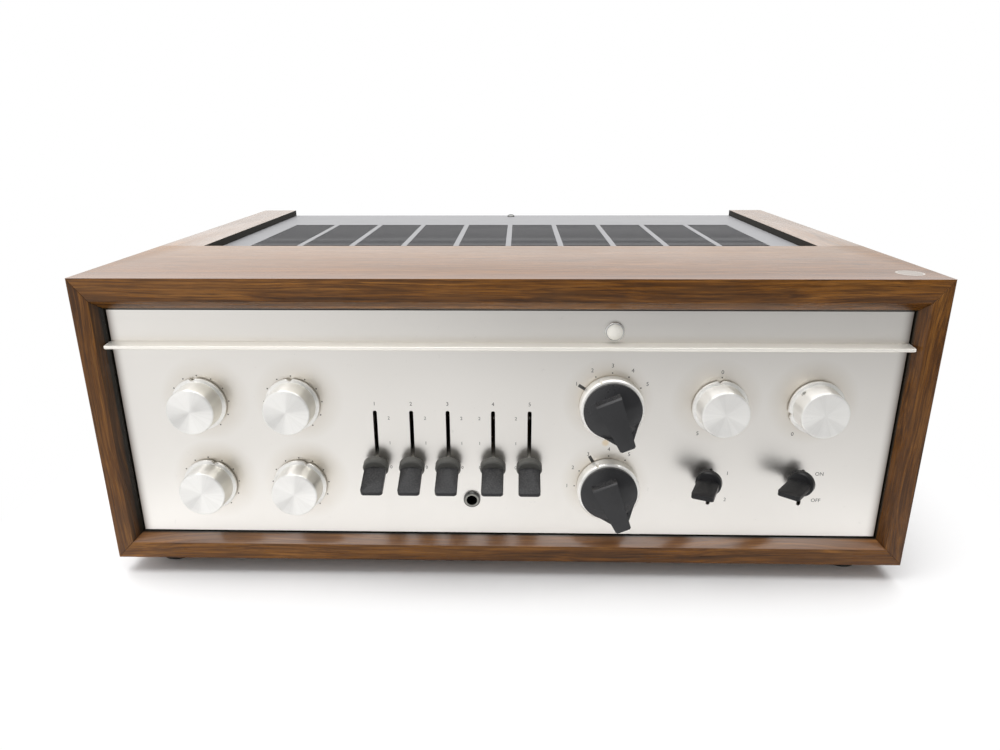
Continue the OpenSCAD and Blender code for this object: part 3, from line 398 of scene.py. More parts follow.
def use(tree, shared, plugs):
    """A shared effect placed in a material, with its own values."""
    node = tree.nodes.new("ShaderNodeGroup")
    node.node_tree = shared
    for key, value in plugs.items():
        feed(tree, node.inputs[key], value)
    return node.outputs


def finish_of(name, **fixed):
    """A new material with its shader: (material, tree, shader, object coordinates)."""
    material = bpy.data.materials.new(name)
    material.use_nodes = True
    tree = material.node_tree
    tree.nodes.clear()
    shader = tree.nodes.new("ShaderNodeBsdfPrincipled")
    output = tree.nodes.new("ShaderNodeOutputMaterial")
    tree.links.new(shader.outputs[0], output.inputs[0])
    for key, value in fixed.items():
        shader.inputs[key.replace("_", " ").title().replace("Ior", "IOR")].default_value = value
    place = tree.nodes.new("ShaderNodeTexCoord").outputs["Object"]
    return material, tree, shader, place


def plug(tree, shader, **results):
    """Links what varies over a surface to the shader's sockets of the same names."""
    for key, value in results.items():
        tree.links.new(value, shader.inputs[key.replace("_", " ").title()])


def relief(tree, shader, height, depth):
    """Bump from a height, depth in mm."""
    bump = add(tree, "Bump", {"Height": height, "Distance": depth * MM, "Strength": 1.0})
    tree.links.new(bump.outputs[0], shader.inputs["Normal"])


# Shared effects

walnut_tones = (
    (0.34, (0.034, 0.012, 0.0018)), (0.5, (0.155, 0.057, 0.0072)), (0.66, (0.280, 0.116, 0.020)),
)


def make_walnut_figure():
    """Walnut with its grain along X: dark and light streaks, fine fibres and open pores."""
    tree, plugs, results = group(
        "walnut_figure", [("Vector", "Vector", None)],
        [("Color", "Color"), ("Roughness", "Float"), ("Height", "Float")],
    )
    place = plugs["Vector"]
    wander = noise(tree, stretched(tree, place, (5, 26, 26)), 2.0)
    swing = times(tree, math_of(tree, "SUBTRACT", wander, 0.5), 0.016)
    shift = add(tree, "CombineXYZ", {"Y": swing, "Z": swing}).outputs[0]
    wavy = vector_of(tree, "ADD", place, shift)
    broad = noise(tree, stretched(tree, wavy, (3, 90, 90)), 3.0)
    streak = noise(tree, stretched(tree, wavy, (8, 560, 560)), 3.0, 0.62)
    fibre = noise(tree, stretched(tree, wavy, (34, 1200, 1200)), 2.0, 0.6)
    pore = noise(tree, stretched(tree, place, (70, 2400, 2400)), 2.0)
    figure = math_of(tree, "MULTIPLY_ADD", streak, 0.62, times(tree, broad, 0.38))
    ramp = add(tree, "ValToRGB", {"Fac": figure})
    stops = ramp.color_ramp.elements
    stops.new(0.5)
    for stop, (spot, colour) in zip(stops, walnut_tones):
        stop.position = spot
        stop.color = (*colour, 1)
    fibred = mixed(tree, ranged(tree, fibre, 0.40, 0.62, 0.0, 0.62), ramp.outputs[0], (0.036, 0.013, 0.003))
    open_pore = ranged(tree, pore, 0.60, 0.68)
    coloured = mixed(tree, times(tree, open_pore, 0.6), fibred, (0.014, 0.006, 0.003))
    tree.links.new(coloured, results["Color"])
    dull = ranged(tree, fibre, 0.3, 0.7, 0.24, 0.34)
    dull = math_of(tree, "ADD", dull, times(tree, open_pore, 0.1))
    tree.links.new(dull, results["Roughness"])
    low = math_of(tree, "SUBTRACT", times(tree, fibre, 0.4), open_pore)
    tree.links.new(low, results["Height"])
    return tree


def make_brush_lines():
    """Fine lines of a brushed or drawn metal, along X of the vector."""
    tree, plugs, results = group(
        "brush_lines", [("Vector", "Vector", None), ("Length", "Float", 12.0), ("Fineness", "Float", 2600.0)],
        [("Lines", "Float"), ("Drift", "Float")],
    )
    scale = add(tree, "CombineXYZ", {"X": plugs["Length"], "Y": plugs["Fineness"], "Z": plugs["Fineness"]})
    fine = vector_of(tree, "MULTIPLY", plugs["Vector"], scale.outputs[0])
    tree.links.new(noise(tree, fine, 3.0, 0.7), results["Lines"])
    tree.links.new(noise(tree, stretched(tree, plugs["Vector"], (9, 9, 9)), 3.0), results["Drift"])
    return tree


def make_handling():
    """Marks of use: soft smudges, small scuffs and settled dust."""
    tree, plugs, results = group(
        "handling", [("Vector", "Vector", None), ("Size", "Float", 40.0)],
        [("Smudge", "Float"), ("Scuff", "Float"), ("Dust", "Float")],
    )
    even = scaled(tree, plugs["Vector"], plugs["Size"])
    smudge = ranged(tree, noise(tree, even, 4.0, 0.6), 0.42, 0.72)
    tree.links.new(smudge, results["Smudge"])
    spot = noise(tree, stretched(tree, even, (9, 9, 9)), 5.0, 0.7)
    tree.links.new(ranged(tree, spot, 0.66, 0.74), results["Scuff"])
    up = upward(tree)
    speck = ranged(tree, noise(tree, stretched(tree, even, (26, 26, 26)), 3.0, 0.7), 0.4, 0.75)
    lying = ranged(tree, up, 0.3, 0.95)
    tree.links.new(times(tree, speck, lying), results["Dust"])
    return tree


def make_moulded_skin():
    """Skin of a moulding or a coat of paint: fine pebbles over a slow wave."""
    tree, plugs, results = group(
        "moulded_skin", [("Vector", "Vector", None), ("Pebble", "Float", 1800.0)], [("Height", "Float")],
    )
    near = scaled(tree, plugs["Vector"], plugs["Pebble"])
    wave = noise(tree, stretched(tree, plugs["Vector"], (130, 130, 130)), 2.0)
    total = math_of(tree, "ADD", noise(tree, near, 2.0), wave)
    tree.links.new(total, results["Height"])
    return tree


walnut_figure = make_walnut_figure()
brush_lines = make_brush_lines()
handling = make_handling()
moulded_skin = make_moulded_skin()


# Finishes

def turned_grain(tree, place, order):
    """Object coordinates with the grain direction first."""
    parts = parts_of(tree, place)
    picked = {key: parts["XYZ".index(letter)] for key, letter in zip("XYZ", order)}
    return add(tree, "CombineXYZ", picked).outputs[0]


oiled = {"specular_ior_level": 0.22, "coat_roughness": 0.2, "coat_ior": 1.5}
polish_range = (0.4, 0.9, 0.12, 1.0)  # oil stays on faces that look up
hand_brown = (0.16, 0.08, 0.03)
dust_grey = (0.42, 0.40, 0.37)
# nearly black, for painted shade on the bevels and a line of painted shadow along the panel
shade_black = (0.010, 0.008, 0.005)
bevel_line = 1.1


def bevel_masks(tree, place, line_w):
    """Masks of the bevel round the opening: its slanted face, for painted shade and painted light, and a line
    of painted shadow along the panel, line_w mm wide.
    """
    edge = 6 * MM
    spot = parts_of(tree, place)
    face = parts_of(tree, add(tree, "TexCoord").outputs["Normal"])
    out = times(tree, face[1], -1.0)
    slant = times(tree, ranged(tree, out, 0.97, 0.85), ranged(tree, out, 0.05, 0.2))
    centre_z = (wood_low.z + wood_high.z) / 2
    aside = math_of(tree, "ABSOLUTE", spot[0])
    above = math_of(tree, "ABSOLUTE", math_of(tree, "SUBTRACT", spot[2], centre_z))
    inside = times(
        tree, math_of(tree, "LESS_THAN", aside, wood_high.x - edge),
        math_of(tree, "LESS_THAN", above, wood_high.z - centre_z - edge),
    )
    deep = ranged(tree, spot[1], panel_face - (line_w + 1) * MM, panel_face - line_w * MM)
    line = times(tree, deep, math_of(tree, "LESS_THAN", spot[1], panel_face + 2 * MM))
    return [times(tree, mask, inside) for mask in (slant, line)]


def walnut(name, order, cut_from, dark=0.0, painted_share=0.0, tint=shade_black, line_w=bevel_line):
    """Oiled walnut: cut_from is where in the tree the board was cut, dark how far it has darkened, and the
    next two the share and tint painted on its bevel, painted shade when the tint is dark and painted light
    when it is pale; a line of painted shadow runs along the panel."""
    material, tree, shader, place = finish_of(name, **oiled)
    grain = turned_grain(tree, place, order)
    board = add(tree, "Mapping", {"Vector": grain, "Location": cut_from}).outputs[0]
    figure = use(tree, walnut_figure, {"Vector": board})
    worn = use(tree, handling, {"Vector": place, "Size": 30.0})
    colour = mixed(tree, times(tree, worn["Smudge"], 0.12), figure["Color"], hand_brown)
    gloss = math_of(tree, "ADD", figure["Roughness"], times(tree, worn["Smudge"], 0.07))
    colour = mixed(tree, dark, colour, (0.034, 0.014, 0.006))
    slant, line = bevel_masks(tree, place, line_w)
    # the tint on the slanted bevel: painted shade when dark, painted light when pale
    colour = mixed(tree, times(tree, slant, painted_share), colour, tint)
    # a line of painted shadow where the bevel meets the panel
    colour = mixed(tree, line, colour, shade_black)
    polish = ranged(tree, upward(tree), *polish_range)
    plug(tree, shader, base_color=colour, roughness=gloss, coat_weight=polish)
    relief(tree, shader, figure["Height"], 0.012)
    return material


def well_wall(tree, place):
    """Mask of the upright faces round the grille, for painted shade in the well."""
    margin = 3 * MM
    spot = parts_of(tree, place)
    within = math_of(tree, "LESS_THAN", math_of(tree, "ABSOLUTE", spot[0]), grille_high.x + margin)
    behind = math_of(tree, "GREATER_THAN", spot[1], grille_low.y - margin)
    upright_face = math_of(tree, "LESS_THAN", math_of(tree, "ABSOLUTE", upward(tree)), 0.6)
    return times(tree, times(tree, within, behind), upright_face)


def walnut_top(name):
    """The top board: its rail runs across, and its two cheeks run to the rear behind a butt joint."""
    material, tree, shader, place = finish_of(name, **oiled)
    across = add(tree, "Mapping", {"Vector": place, "Location": (0.31, 0.07, 0.02)}).outputs[0]
    rail = use(tree, walnut_figure, {"Vector": across})
    to_rear = turned_grain(tree, place, "YXZ")
    along = add(tree, "Mapping", {"Vector": to_rear, "Location": (0.9, 0.4, 0.3)}).outputs[0]
    cheek = use(tree, walnut_figure, {"Vector": along})
    worn = use(tree, handling, {"Vector": place, "Size": 26.0})
    joint_y, joint_w = grille_low.y, 0.18 * MM
    spot = parts_of(tree, place)
    aside, depth = spot[0], spot[1]
    behind = math_of(tree, "GREATER_THAN", depth, joint_y)
    from_joint = math_of(tree, "ABSOLUTE", math_of(tree, "SUBTRACT", depth, joint_y))
    in_joint = math_of(tree, "LESS_THAN", from_joint, joint_w)
    up = upward(tree)
    lying = ranged(tree, up, *polish_range[:2])
    in_well_shade = well_wall(tree, place)

    wood = mixed(tree, behind, rail["Color"], cheek["Color"])
    wood = mixed(tree, times(tree, in_joint, 0.7), wood, (0.02, 0.009, 0.004))
    wood = mixed(tree, times(tree, worn["Smudge"], 0.15), wood, hand_brown)
    # painted shade, nearly black, on the upright faces of the well round the grille
    wood = mixed(tree, in_well_shade, wood, (0.012, 0.010, 0.007))
    # painted sheen on the faces that look up: lighter towards the left, towards the rear of the rail, and
    # along its front edge
    painted_sheen_left = times(tree, lying, ranged(tree, aside, -0.2, 0.2, 0.26, 0.06))
    wood = mixed(tree, painted_sheen_left, wood, (0.42, 0.25, 0.15))
    painted_light_rear = times(tree, lying, ranged(tree, depth, wood_front + 14 * MM, joint_y, 0.0, 0.14))
    wood = mixed(tree, painted_light_rear, wood, (0.50, 0.30, 0.12))
    painted_sheen_front = times(tree, lying, ranged(tree, depth, wood_front, wood_front + 20 * MM, 0.20, 0.0))
    wood = mixed(tree, painted_sheen_front, wood, (0.50, 0.44, 0.43))
    # a line of painted shadow where the bevel meets the panel
    wood = mixed(tree, bevel_masks(tree, place, bevel_line)[1], wood, shade_black)

    rubbed = ranged(tree, aside, -0.2, 0.22, 1.0, 0.78)
    dry = math_of(tree, "MAXIMUM", ranged(tree, depth, wood_front + 15 * MM, joint_y, 1.0, 0.42), behind)
    polish = times(tree, ranged(tree, up, *polish_range), rubbed)
    polish = times(tree, times(tree, polish, dry), math_of(tree, "SUBTRACT", 1.0, in_well_shade))
    gloss = mixed(tree, behind, rail["Roughness"], cheek["Roughness"])
    dull = math_of(tree, "ADD", gloss, times(tree, worn["Smudge"], 0.07))
    dull = math_of(tree, "MAXIMUM", dull, times(tree, in_well_shade, 0.8))
    plug(tree, shader, base_color=wood, roughness=dull, coat_weight=polish)
    relief(tree, shader, mixed(tree, behind, rail["Height"], cheek["Height"]), 0.012)
    return material


def near_controls(tree, place):
    """Mask of the panel round the turning controls, strongest at their rims, for dirt and painted shadow."""
    rim, reach = 14.5 * MM, 26.5 * MM
    nearest = 1.0
    for control in dials:
        centre = axis_of(control)
        # shifted towards the middle of the panel and up, where the painted shadows of the knobs lie
        centre += Vector((-2.0 if centre.x > 0 else 3.5, 0, 2.5)) * MM
        nearest = math_of(tree, "MINIMUM", measure_of(tree, "DISTANCE", place, centre), nearest)
    return ranged(tree, nearest, reach, rim)


def satin_sheet(name, colour, shade, low, high, lines=2600.0, depth=0.004, metal=1.0, grimed_and_shaded=False):
    """Satin aluminium sheet, with the lines of its finish running across; with the last flag set, it has dirt
    and painted shadow round the controls, painted shade at its ends, and a trace of tape between the
    selectors."""
    material, tree, shader, place = finish_of(name, metallic=metal)
    brushed = use(tree, brush_lines, {"Vector": place, "Length": 14.0, "Fineness": lines})
    worn = use(tree, handling, {"Vector": place, "Size": 16.0})
    tone = mixed(tree, brushed["Drift"], colour, shade)
    tone = mixed(tree, times(tree, worn["Scuff"], 0.18), tone, [x * 0.5 for x in colour])
    if grimed_and_shaded:
        end_w, tape_r, tape_fade = 6 * MM, 1.2 * MM, 1.4 * MM
        patchy = math_of(tree, "MULTIPLY_ADD", worn["Smudge"], 0.25, 0.25)
        # dirt and painted shadow round the controls
        grime_and_shadow = times(tree, near_controls(tree, place), patchy)
        tone = mixed(tree, grime_and_shadow, tone, (0.60, 0.52, 0.40))
        from_middle = math_of(tree, "ABSOLUTE", parts_of(tree, place)[0])
        # painted shade near the ends of the panel, where the dark sides of the opening are reflected
        end_shade = ranged(tree, from_middle, panel_high.x - end_w, panel_high.x)
        end_shade = times(tree, math_of(tree, "POWER", end_shade, 2.0), 0.8)
        tone = mixed(tree, end_shade, tone, (0.16, 0.12, 0.095))
        tape = axis_of("input_selector") + Vector((-2.2, 0, -23.6)) * MM
        apart = measure_of(tree, "DISTANCE", place, tape)
        taped = ranged(tree, apart, tape_r + tape_fade, tape_r, 0.0, 0.5)
        tone = mixed(tree, taped, tone, (0.78, 0.56, 0.26))
    spread = ranged(tree, brushed["Lines"], 0.3, 0.7, low, high)
    spread = math_of(tree, "ADD", spread, times(tree, worn["Smudge"], 0.04))
    plug(tree, shader, base_color=tone, roughness=spread)
    relief(tree, shader, brushed["Lines"], depth)
    return material


def spun_metal(name, colour, shade, low, high, stretch, metal):
    """Turned aluminium: rings round the axis, highlights that fan out from it with darker fans of painted
    reflection, and painted shade on the sides that look right.
    """
    material, tree, shader, place = finish_of(name, metallic=metal, anisotropic=stretch)
    spot = add(tree, "Attribute", attribute_name="from_axis").outputs["Vector"]
    parts = parts_of(tree, spot)
    flat = add(tree, "CombineXYZ", {"X": parts[0], "Z": parts[2]}).outputs[0]
    radius = measure_of(tree, "LENGTH", flat)
    ring_place = add(tree, "CombineXYZ", {"X": radius, "Y": parts[1]}).outputs[0]
    rings = noise(tree, stretched(tree, ring_place, (5200, 5200, 1)), 3.0, 0.7)
    broad = noise(tree, stretched(tree, ring_place, (700, 700, 1)), 2.0)
    worn = use(tree, handling, {"Vector": place, "Size": 60.0})
    tone = mixed(tree, broad, colour, shade)
    aim = vector_of(tree, "NORMALIZE", flat)
    half = math_of(tree, "SIGN", parts_of(tree, place)[0])
    flip = add(tree, "CombineXYZ", {"X": times(tree, half, -1.0), "Z": 1.0}).outputs[0]
    to_middle = vector_of(tree, "MULTIPLY", aim, flip)
    # darker fans of painted reflection, turned towards the middle of the panel
    painted_fan = noise(tree, stretched(tree, to_middle, (2.6, 2.6, 2.6)), 2.0, 0.6)
    tone = mixed(tree, ranged(tree, painted_fan, 0.42, 0.60, 0.0, 0.28), tone, [x * 0.8 for x in shade])
    tone = mixed(tree, times(tree, worn["Scuff"], 0.2), tone, [x * 0.55 for x in colour])
    face = parts_of(tree, add(tree, "TexCoord").outputs["Normal"])
    # painted shade on the sides of the knobs that look right
    painted_side_shade = ranged(tree, math_of(tree, "ABSOLUTE", face[1]), 0.5, 0.2, 0.0, 0.7)
    painted_side_shade = times(tree, painted_side_shade, ranged(tree, face[0], -0.2, 0.6))
    tone = mixed(tree, painted_side_shade, tone, [x * y for x, y in zip(shade, (0.76, 0.74, 0.67))])
    spread = ranged(tree, rings, 0.3, 0.7, low, high)
    spread = math_of(tree, "ADD", spread, times(tree, worn["Smudge"], 0.05))
    round_way = vector_of(tree, "CROSS_PRODUCT", flat, (0.0, 1.0, 0.0))
    turned = add(tree, "VectorTransform", {0: round_way}, vector_type="VECTOR",
                 convert_from="OBJECT", convert_to="WORLD").outputs[0]
    facing = add(tree, "NewGeometry").outputs["Normal"]
    fan = vector_of(tree, "CROSS_PRODUCT", turned, facing)
    even = vector_of(tree, "NORMALIZE", fan)
    plug(tree, shader, base_color=tone, roughness=spread, tangent=even)
    relief(tree, shader, rings, 0.003)
    return material


def on_discs(tree, place):
    """Mask of the levers' discs, strongest on their rims, for painted light with a little dust."""
    paddle = nodes[levers[0] + "_paddle"].data
    disc_end = min(corner.co.dot(lever_aim) for corner in paddle.vertices) + 4.1 * MM
    along = measure_of(tree, "DOT_PRODUCT", place, lever_aim)
    disc = ranged(tree, along, disc_end + 0.5 * MM, disc_end)
    forward = measure_of(tree, "DOT_PRODUCT", add(tree, "TexCoord").outputs["Normal"], lever_aim)
    return times(tree, disc, ranged(tree, forward, 0.98, 0.8, 0.85, 1.0))


def coated(name, colour, worn_colour, low, high, pebble=1800.0, depth=0.03, dust=0.25, scuff=0.3,
           walls=0.0, shine=0.5, painted_rim_light=False):
    """Paint, enamel, rubber, paper or moulded plastic: a pebbled skin with rubbed places, dust and painted
    shade on the sides of cuts;
    the pale rim, painted light with a little dust, is for the levers' discs."""
    material, tree, shader, place = finish_of(name, specular_ior_level=shine)
    skin = use(tree, moulded_skin, {"Vector": place, "Pebble": pebble})
    worn = use(tree, handling, {"Vector": place, "Size": 40.0})
    tone = mixed(tree, times(tree, worn["Smudge"], scuff), colour, worn_colour)
    bare = [min(1, x * 1.5) for x in worn_colour]
    tone = mixed(tree, times(tree, worn["Scuff"], scuff), tone, bare)
    # painted shade on upright faces, such as the sides of the grille's slots
    wall_shade_mask = ranged(tree, math_of(tree, "ABSOLUTE", upward(tree)), 0.9, 0.4, 0.0, walls)
    tone = mixed(tree, wall_shade_mask, tone, [x * 0.1 for x in colour])
    tone = mixed(tree, times(tree, worn["Dust"], dust), tone, dust_grey)
    if painted_rim_light:
        # painted light on the levers' discs, with a little dust on their rims
        tone = mixed(tree, on_discs(tree, place), tone, (0.082, 0.081, 0.074))
    plug(tree, shader, base_color=tone, roughness=ranged(tree, worn["Smudge"], 0.0, 1.0, low, high))
    relief(tree, shader, skin["Height"], depth)
    return material


def plated(name, colour, shade, low, high, spangle=90.0):
    """Plated or bare metal with a crystal pattern and a few dull marks."""
    material, tree, shader, place = finish_of(name, metallic=1.0)
    cells = add(tree, "TexVoronoi", {"Vector": place, "Scale": spangle}).outputs["Color"]
    share = add(tree, "SeparateColor", {0: cells}).outputs[0]
    worn = use(tree, handling, {"Vector": place, "Size": 50.0})
    brushed = use(tree, brush_lines, {"Vector": place, "Length": 40.0, "Fineness": 1500.0})
    tone = mixed(tree, share, colour, shade)
    tone = mixed(tree, times(tree, worn["Scuff"], 0.35), tone, [x * 0.45 for x in colour])
    spread = math_of(tree, "ADD", ranged(tree, worn["Smudge"], 0.0, 1.0, low, high),
                     times(tree, share, 0.05))
    plug(tree, shader, base_color=tone, roughness=spread)
    relief(tree, shader, brushed["Lines"], 0.004)
    return material


def layered_board(name, colour, shade):
    """Phenolic board and mouldings, with the layers of the paper just showing."""
    material, tree, shader, place = finish_of(name, specular_ior_level=0.5)
    layer = noise(tree, stretched(tree, place, (60, 2200, 60)), 3.0)
    worn = use(tree, handling, {"Vector": place, "Size": 60.0})
    tone = mixed(tree, layer, colour, shade)
    tone = mixed(tree, times(tree, worn["Dust"], 0.25), tone, dust_grey)
    plug(tree, shader, base_color=tone, roughness=ranged(tree, worn["Smudge"], 0.0, 1.0, 0.35, 0.5))
    relief(tree, shader, layer, 0.01)
    return material


def clear_glass(name):
    """Tube glass, a little grey, with faint handling marks."""
    material, tree, shader, place = finish_of(name, transmission_weight=1.0, ior=1.5)
    worn = use(tree, handling, {"Vector": place, "Size": 60.0})
    tone = mixed(tree, worn["Smudge"], (0.93, 0.95, 0.95), (0.80, 0.83, 0.84))
    plug(tree, shader, base_color=tone, roughness=ranged(tree, worn["Smudge"], 0.0, 1.0, 0.02, 0.10))
    return material


walnut_rail = walnut_top("walnut_top")
# pale tint on the bottom bevel: painted light; black on the left bevel: painted shade, with a wider line of
# painted shadow
walnut_bottom = walnut("walnut_bottom", "XYZ", (0.13, 0.52, 0.21), 0.0, 0.3, (0.30, 0.155, 0.085))
walnut_left = walnut("walnut_left", "ZYX", (0.45, 0.11, 0.64), 0.2, 0.5, shade_black, 2.6)
walnut_right = walnut("walnut_right", "ZYX", (0.77, 0.83, 0.15), 0.3)
satin_panel = satin_sheet("satin_panel", (0.905, 0.876, 0.835), (0.865, 0.835, 0.79), 0.30, 0.36, grimed_and_shaded=True)
bright_bar = satin_sheet("bright_bar", (0.98, 0.95, 0.885), (0.95, 0.915, 0.845), 0.36, 0.44, metal=0.6)
knob_metal = spun_metal("knob_metal", (0.99, 0.98, 0.955), (0.97, 0.955, 0.92), 0.32, 0.42, 0.95, 0.85)
drum_metal = spun_metal("drum_metal", (0.99, 0.975, 0.94), (0.97, 0.95, 0.91), 0.30, 0.40, 0.6, 0.7)
can_metal = satin_sheet("can_metal", (0.78, 0.78, 0.77), (0.70, 0.70, 0.69), 0.26, 0.38, 900.0)
# its slot sides get painted shade
grey_enamel = coated(
    "grey_enamel", (0.23, 0.23, 0.24), (0.28, 0.28, 0.285), 0.40, 0.50, 1500.0, 0.02, 0.12, 0.35, walls=0.95,
)
black_enamel = coated("black_enamel", (0.016, 0.016, 0.017), (0.03, 0.03, 0.03), 0.38, 0.52, 900.0, 0.06)
steel_plate = plated("steel_plate", (0.60, 0.58, 0.53), (0.52, 0.50, 0.45), 0.30, 0.42)
bright_chrome = plated("bright_chrome", (0.66, 0.66, 0.65), (0.60, 0.60, 0.59), 0.12, 0.2, 400.0)
black_caps = coated(
    "black_caps", (0.015, 0.015, 0.0165), (0.026, 0.026, 0.028), 0.20, 0.30, 2600.0, 0.010, 0.08, 0.4,
    shine=0.42,
)
# its discs get painted light
lever_caps = coated(
    "lever_caps", (0.012, 0.012, 0.0135), (0.020, 0.020, 0.022), 0.34, 0.46, 2600.0, 0.012, 0.08, 0.4,
    shine=0.26, painted_rim_light=True,
)
toggle_caps = coated(
    "toggle_caps", (0.009, 0.009, 0.010), (0.014, 0.014, 0.015), 0.28, 0.38, 2600.0, 0.010, 0.04, 0.4,
    shine=0.3,
)
black_moulding = coated("black_moulding", (0.018, 0.018, 0.019), (0.03, 0.03, 0.03), 0.36, 0.5, 1600.0, 0.02)
brown_board = layered_board("brown_board", (0.16, 0.075, 0.03), (0.10, 0.045, 0.018))
pale_ceramic = coated("pale_ceramic", (0.62, 0.58, 0.50), (0.5, 0.46, 0.38), 0.3, 0.42, 1600.0, 0.01)
foot_rubber = coated("foot_rubber", (0.014, 0.014, 0.014), (0.03, 0.03, 0.029), 0.62, 0.8, 1300.0, 0.05)
lamp_cap = coated("lamp_cap", (0.74, 0.72, 0.67), (0.66, 0.64, 0.58), 0.22, 0.32, 2600.0, 0.004, 0.0, 0.3)
tube_glass = clear_glass("tube_glass")
tube_plate = plated("tube_plate", (0.22, 0.22, 0.22), (0.17, 0.17, 0.17), 0.45, 0.6)
getter_mirror = plated("getter_mirror", (0.55, 0.55, 0.54), (0.42, 0.42, 0.41), 0.06, 0.14, 300.0)
dark_nut = plated("dark_nut", (0.17, 0.17, 0.165), (0.13, 0.13, 0.125), 0.30, 0.40, 500.0)
dull_nickel = plated("dull_nickel", (0.36, 0.355, 0.325), (0.29, 0.285, 0.255), 0.30, 0.40, 500.0)
pale_ink = coated("pale_ink", (0.60, 0.59, 0.56), (0.50, 0.49, 0.46), 0.5, 0.6, 3000.0, 0.005, 0.0, 0.5)
paper_disc = coated(
    "paper_disc", (0.31, 0.275, 0.245), (0.25, 0.225, 0.21), 0.36, 0.46, 2200.0, 0.008, 0.1, 0.4,
)
paper_rim = coated("paper_rim", (0.44, 0.40, 0.37), (0.36, 0.33, 0.30), 0.4, 0.5, 2200.0, 0.008, 0.1, 0.4)
print_ink = coated("print_ink", (0.05, 0.048, 0.045), (0.09, 0.086, 0.08), 0.5, 0.6, 3000.0, 0.005, 0.0, 0.5)


# Wood case

for board, finish in (
    ("top_board", walnut_rail), ("bottom_board", walnut_bottom),
    ("left_side_panel", walnut_left), ("right_side_panel", walnut_right),
):
    dressed(board, finish, "wood", 0.5, 3)


# Round knobs: skirt, drafted body, bright edge, dished face and a V notch in the rim of the skirt

knob_profile = [
    (15.2, 0.8), (15.9, 1.0), (16.0, 1.3), (16.0, 2.4), (15.8, 2.7), (15.5, 2.8), (14.3, 2.8),
    (14.05, 2.95), (14.0, 3.3), (13.85, 9.0), (13.62, 14.55), (13.45, 14.95), (13.1, 15.25),
    (12.7, 15.38), (12.2, 15.34), (10.0, 15.24), (6.0, 15.12), (2.0, 15.05), (0.4, 15.03),
]
knob_crease, grub_turn = 32, 60  # degrees


def knob_form():
    knob = lathe("knob_form", knob_profile)
    fresh()
    bpy.ops.mesh.primitive_cylinder_add(
        vertices=3, radius=2 * MM, depth=6 * MM, location=(0, -1.8 * MM, 16.5 * MM),
        rotation=(-math.pi / 2, 0, 0), scale=(2.4, 1, 1),
    )
    notch = named("notch_tool")
    settle()
    return smooth(carved(knob, notch), knob_crease)


def grub_hole():
    """A tool for the hole of a grub screw in the side of a knob."""
    fresh()
    bpy.ops.mesh.primitive_cylinder_add(
        vertices=24, radius=1.5 * MM, depth=12 * MM, location=(0, -5.0 * MM, 15 * MM),
    )
    hole = named("hole_tool")
    settle()
    return put(hole, (0, 0, 0), grub_turn)


knob_master = knob_form()
knob_turns = {
    "treble_left": -7, "treble_right": 0, "bass_left": 17, "bass_right": 20, "balance": -4, "volume": -105,
}
for control, turn in knob_turns.items():
    knob = another(knob_master, control + "_knob_spun")
    if control == "volume":
        smooth(carved(knob, grub_hole()), knob_crease)
    put(knob, axis_of(control), turn)
    mark_axis(knob, axis_of(control))
    finish_piece(knob, body_of(control + "_knob"), knob_metal, [control + "_knob"])
bpy.data.objects.remove(knob_master)


# Selectors: silver drum with an index notch, and a black pointer on it

for control in selectors:
    drum = cad_copy(control + "_drum", control + "_drum_spun")
    eased(drum, 0.25, 2)
    smooth(drum, 35)
    mark_axis(drum, axis_of(control))
    finish_piece(drum, body_of(control + "_drum"), drum_metal, [control + "_drum"])
    pointer = smooth(eased(cad_copy(control + "_pointer", control + "_pointer_dressed"), 0.7, 4, 25), 60)
    finish_piece(pointer, body_of(control + "_pointer"), black_caps, [control + "_pointer"])


# Levers and toggles

for lever in levers:
    dressed(lever + "_paddle", lever_caps, "black_plastic", 0.4, 3)
for toggle in ("speaker_toggle", "power_toggle"):
    dressed(toggle, toggle_caps, "black_plastic", 0.4, 3)


# CAD nodes that keep their shape, and those that get eased edges

kept = {
    "front_panel": satin_panel, "pilot_lens": lamp_cap, "top_grille": grey_enamel, "chassis": steel_plate,
    "rear_panel": black_enamel, "bottom_plate": steel_plate, "control_pots": steel_plate,
    "selector_switches": brown_board, "lever_switches": brown_board, "toggle_switches": brown_board,
    "tube_sockets": pale_ceramic,
}
for node, finish in kept.items():
    nodes[node].material_slots[0].material = finish
for node in nodes:
    if node.endswith(("_shaft", "_arm")):
        nodes[node].material_slots[0].material = steel_plate

for node, finish, slot, ease in (
    ("trim_bar", bright_bar, "bright_aluminium", (0.3, 3, 20)),
    ("pilot_bezel", bright_chrome, "chrome", (0.2, 2)),
    ("headphone_jack", dark_nut, "chrome", (0.3, 2)),
    ("feet", foot_rubber, "rubber", (0.5, 2)),
    ("power_transformer", black_enamel, "black_enamel", (1.2, 3)),
    ("output_transformers", black_enamel, "black_enamel", (1.2, 3)),
    ("filter_capacitors", can_metal, "can_aluminium", (1.0, 3)),
    ("phono_jacks", bright_chrome, "chrome", (0.3, 2)),
    ("speaker_terminals", black_moulding, "black_plastic", (0.4, 2)),
    ("mains_outlets", black_moulding, "black_plastic", (0.5, 2)),
    ("cord_bushing", foot_rubber, "rubber", (0.5, 2)),
):
    dressed(node, finish, slot, *ease)


# Screws: cross recesses in the heads of the case screws, and a slotted screw head to copy

def slits(name, places, size):
    """Boxes of one size round several places, as one tool."""
    half = Vector(size) * MM / 2
    return joined([block(name, place - half, place + half) for place in places], name)


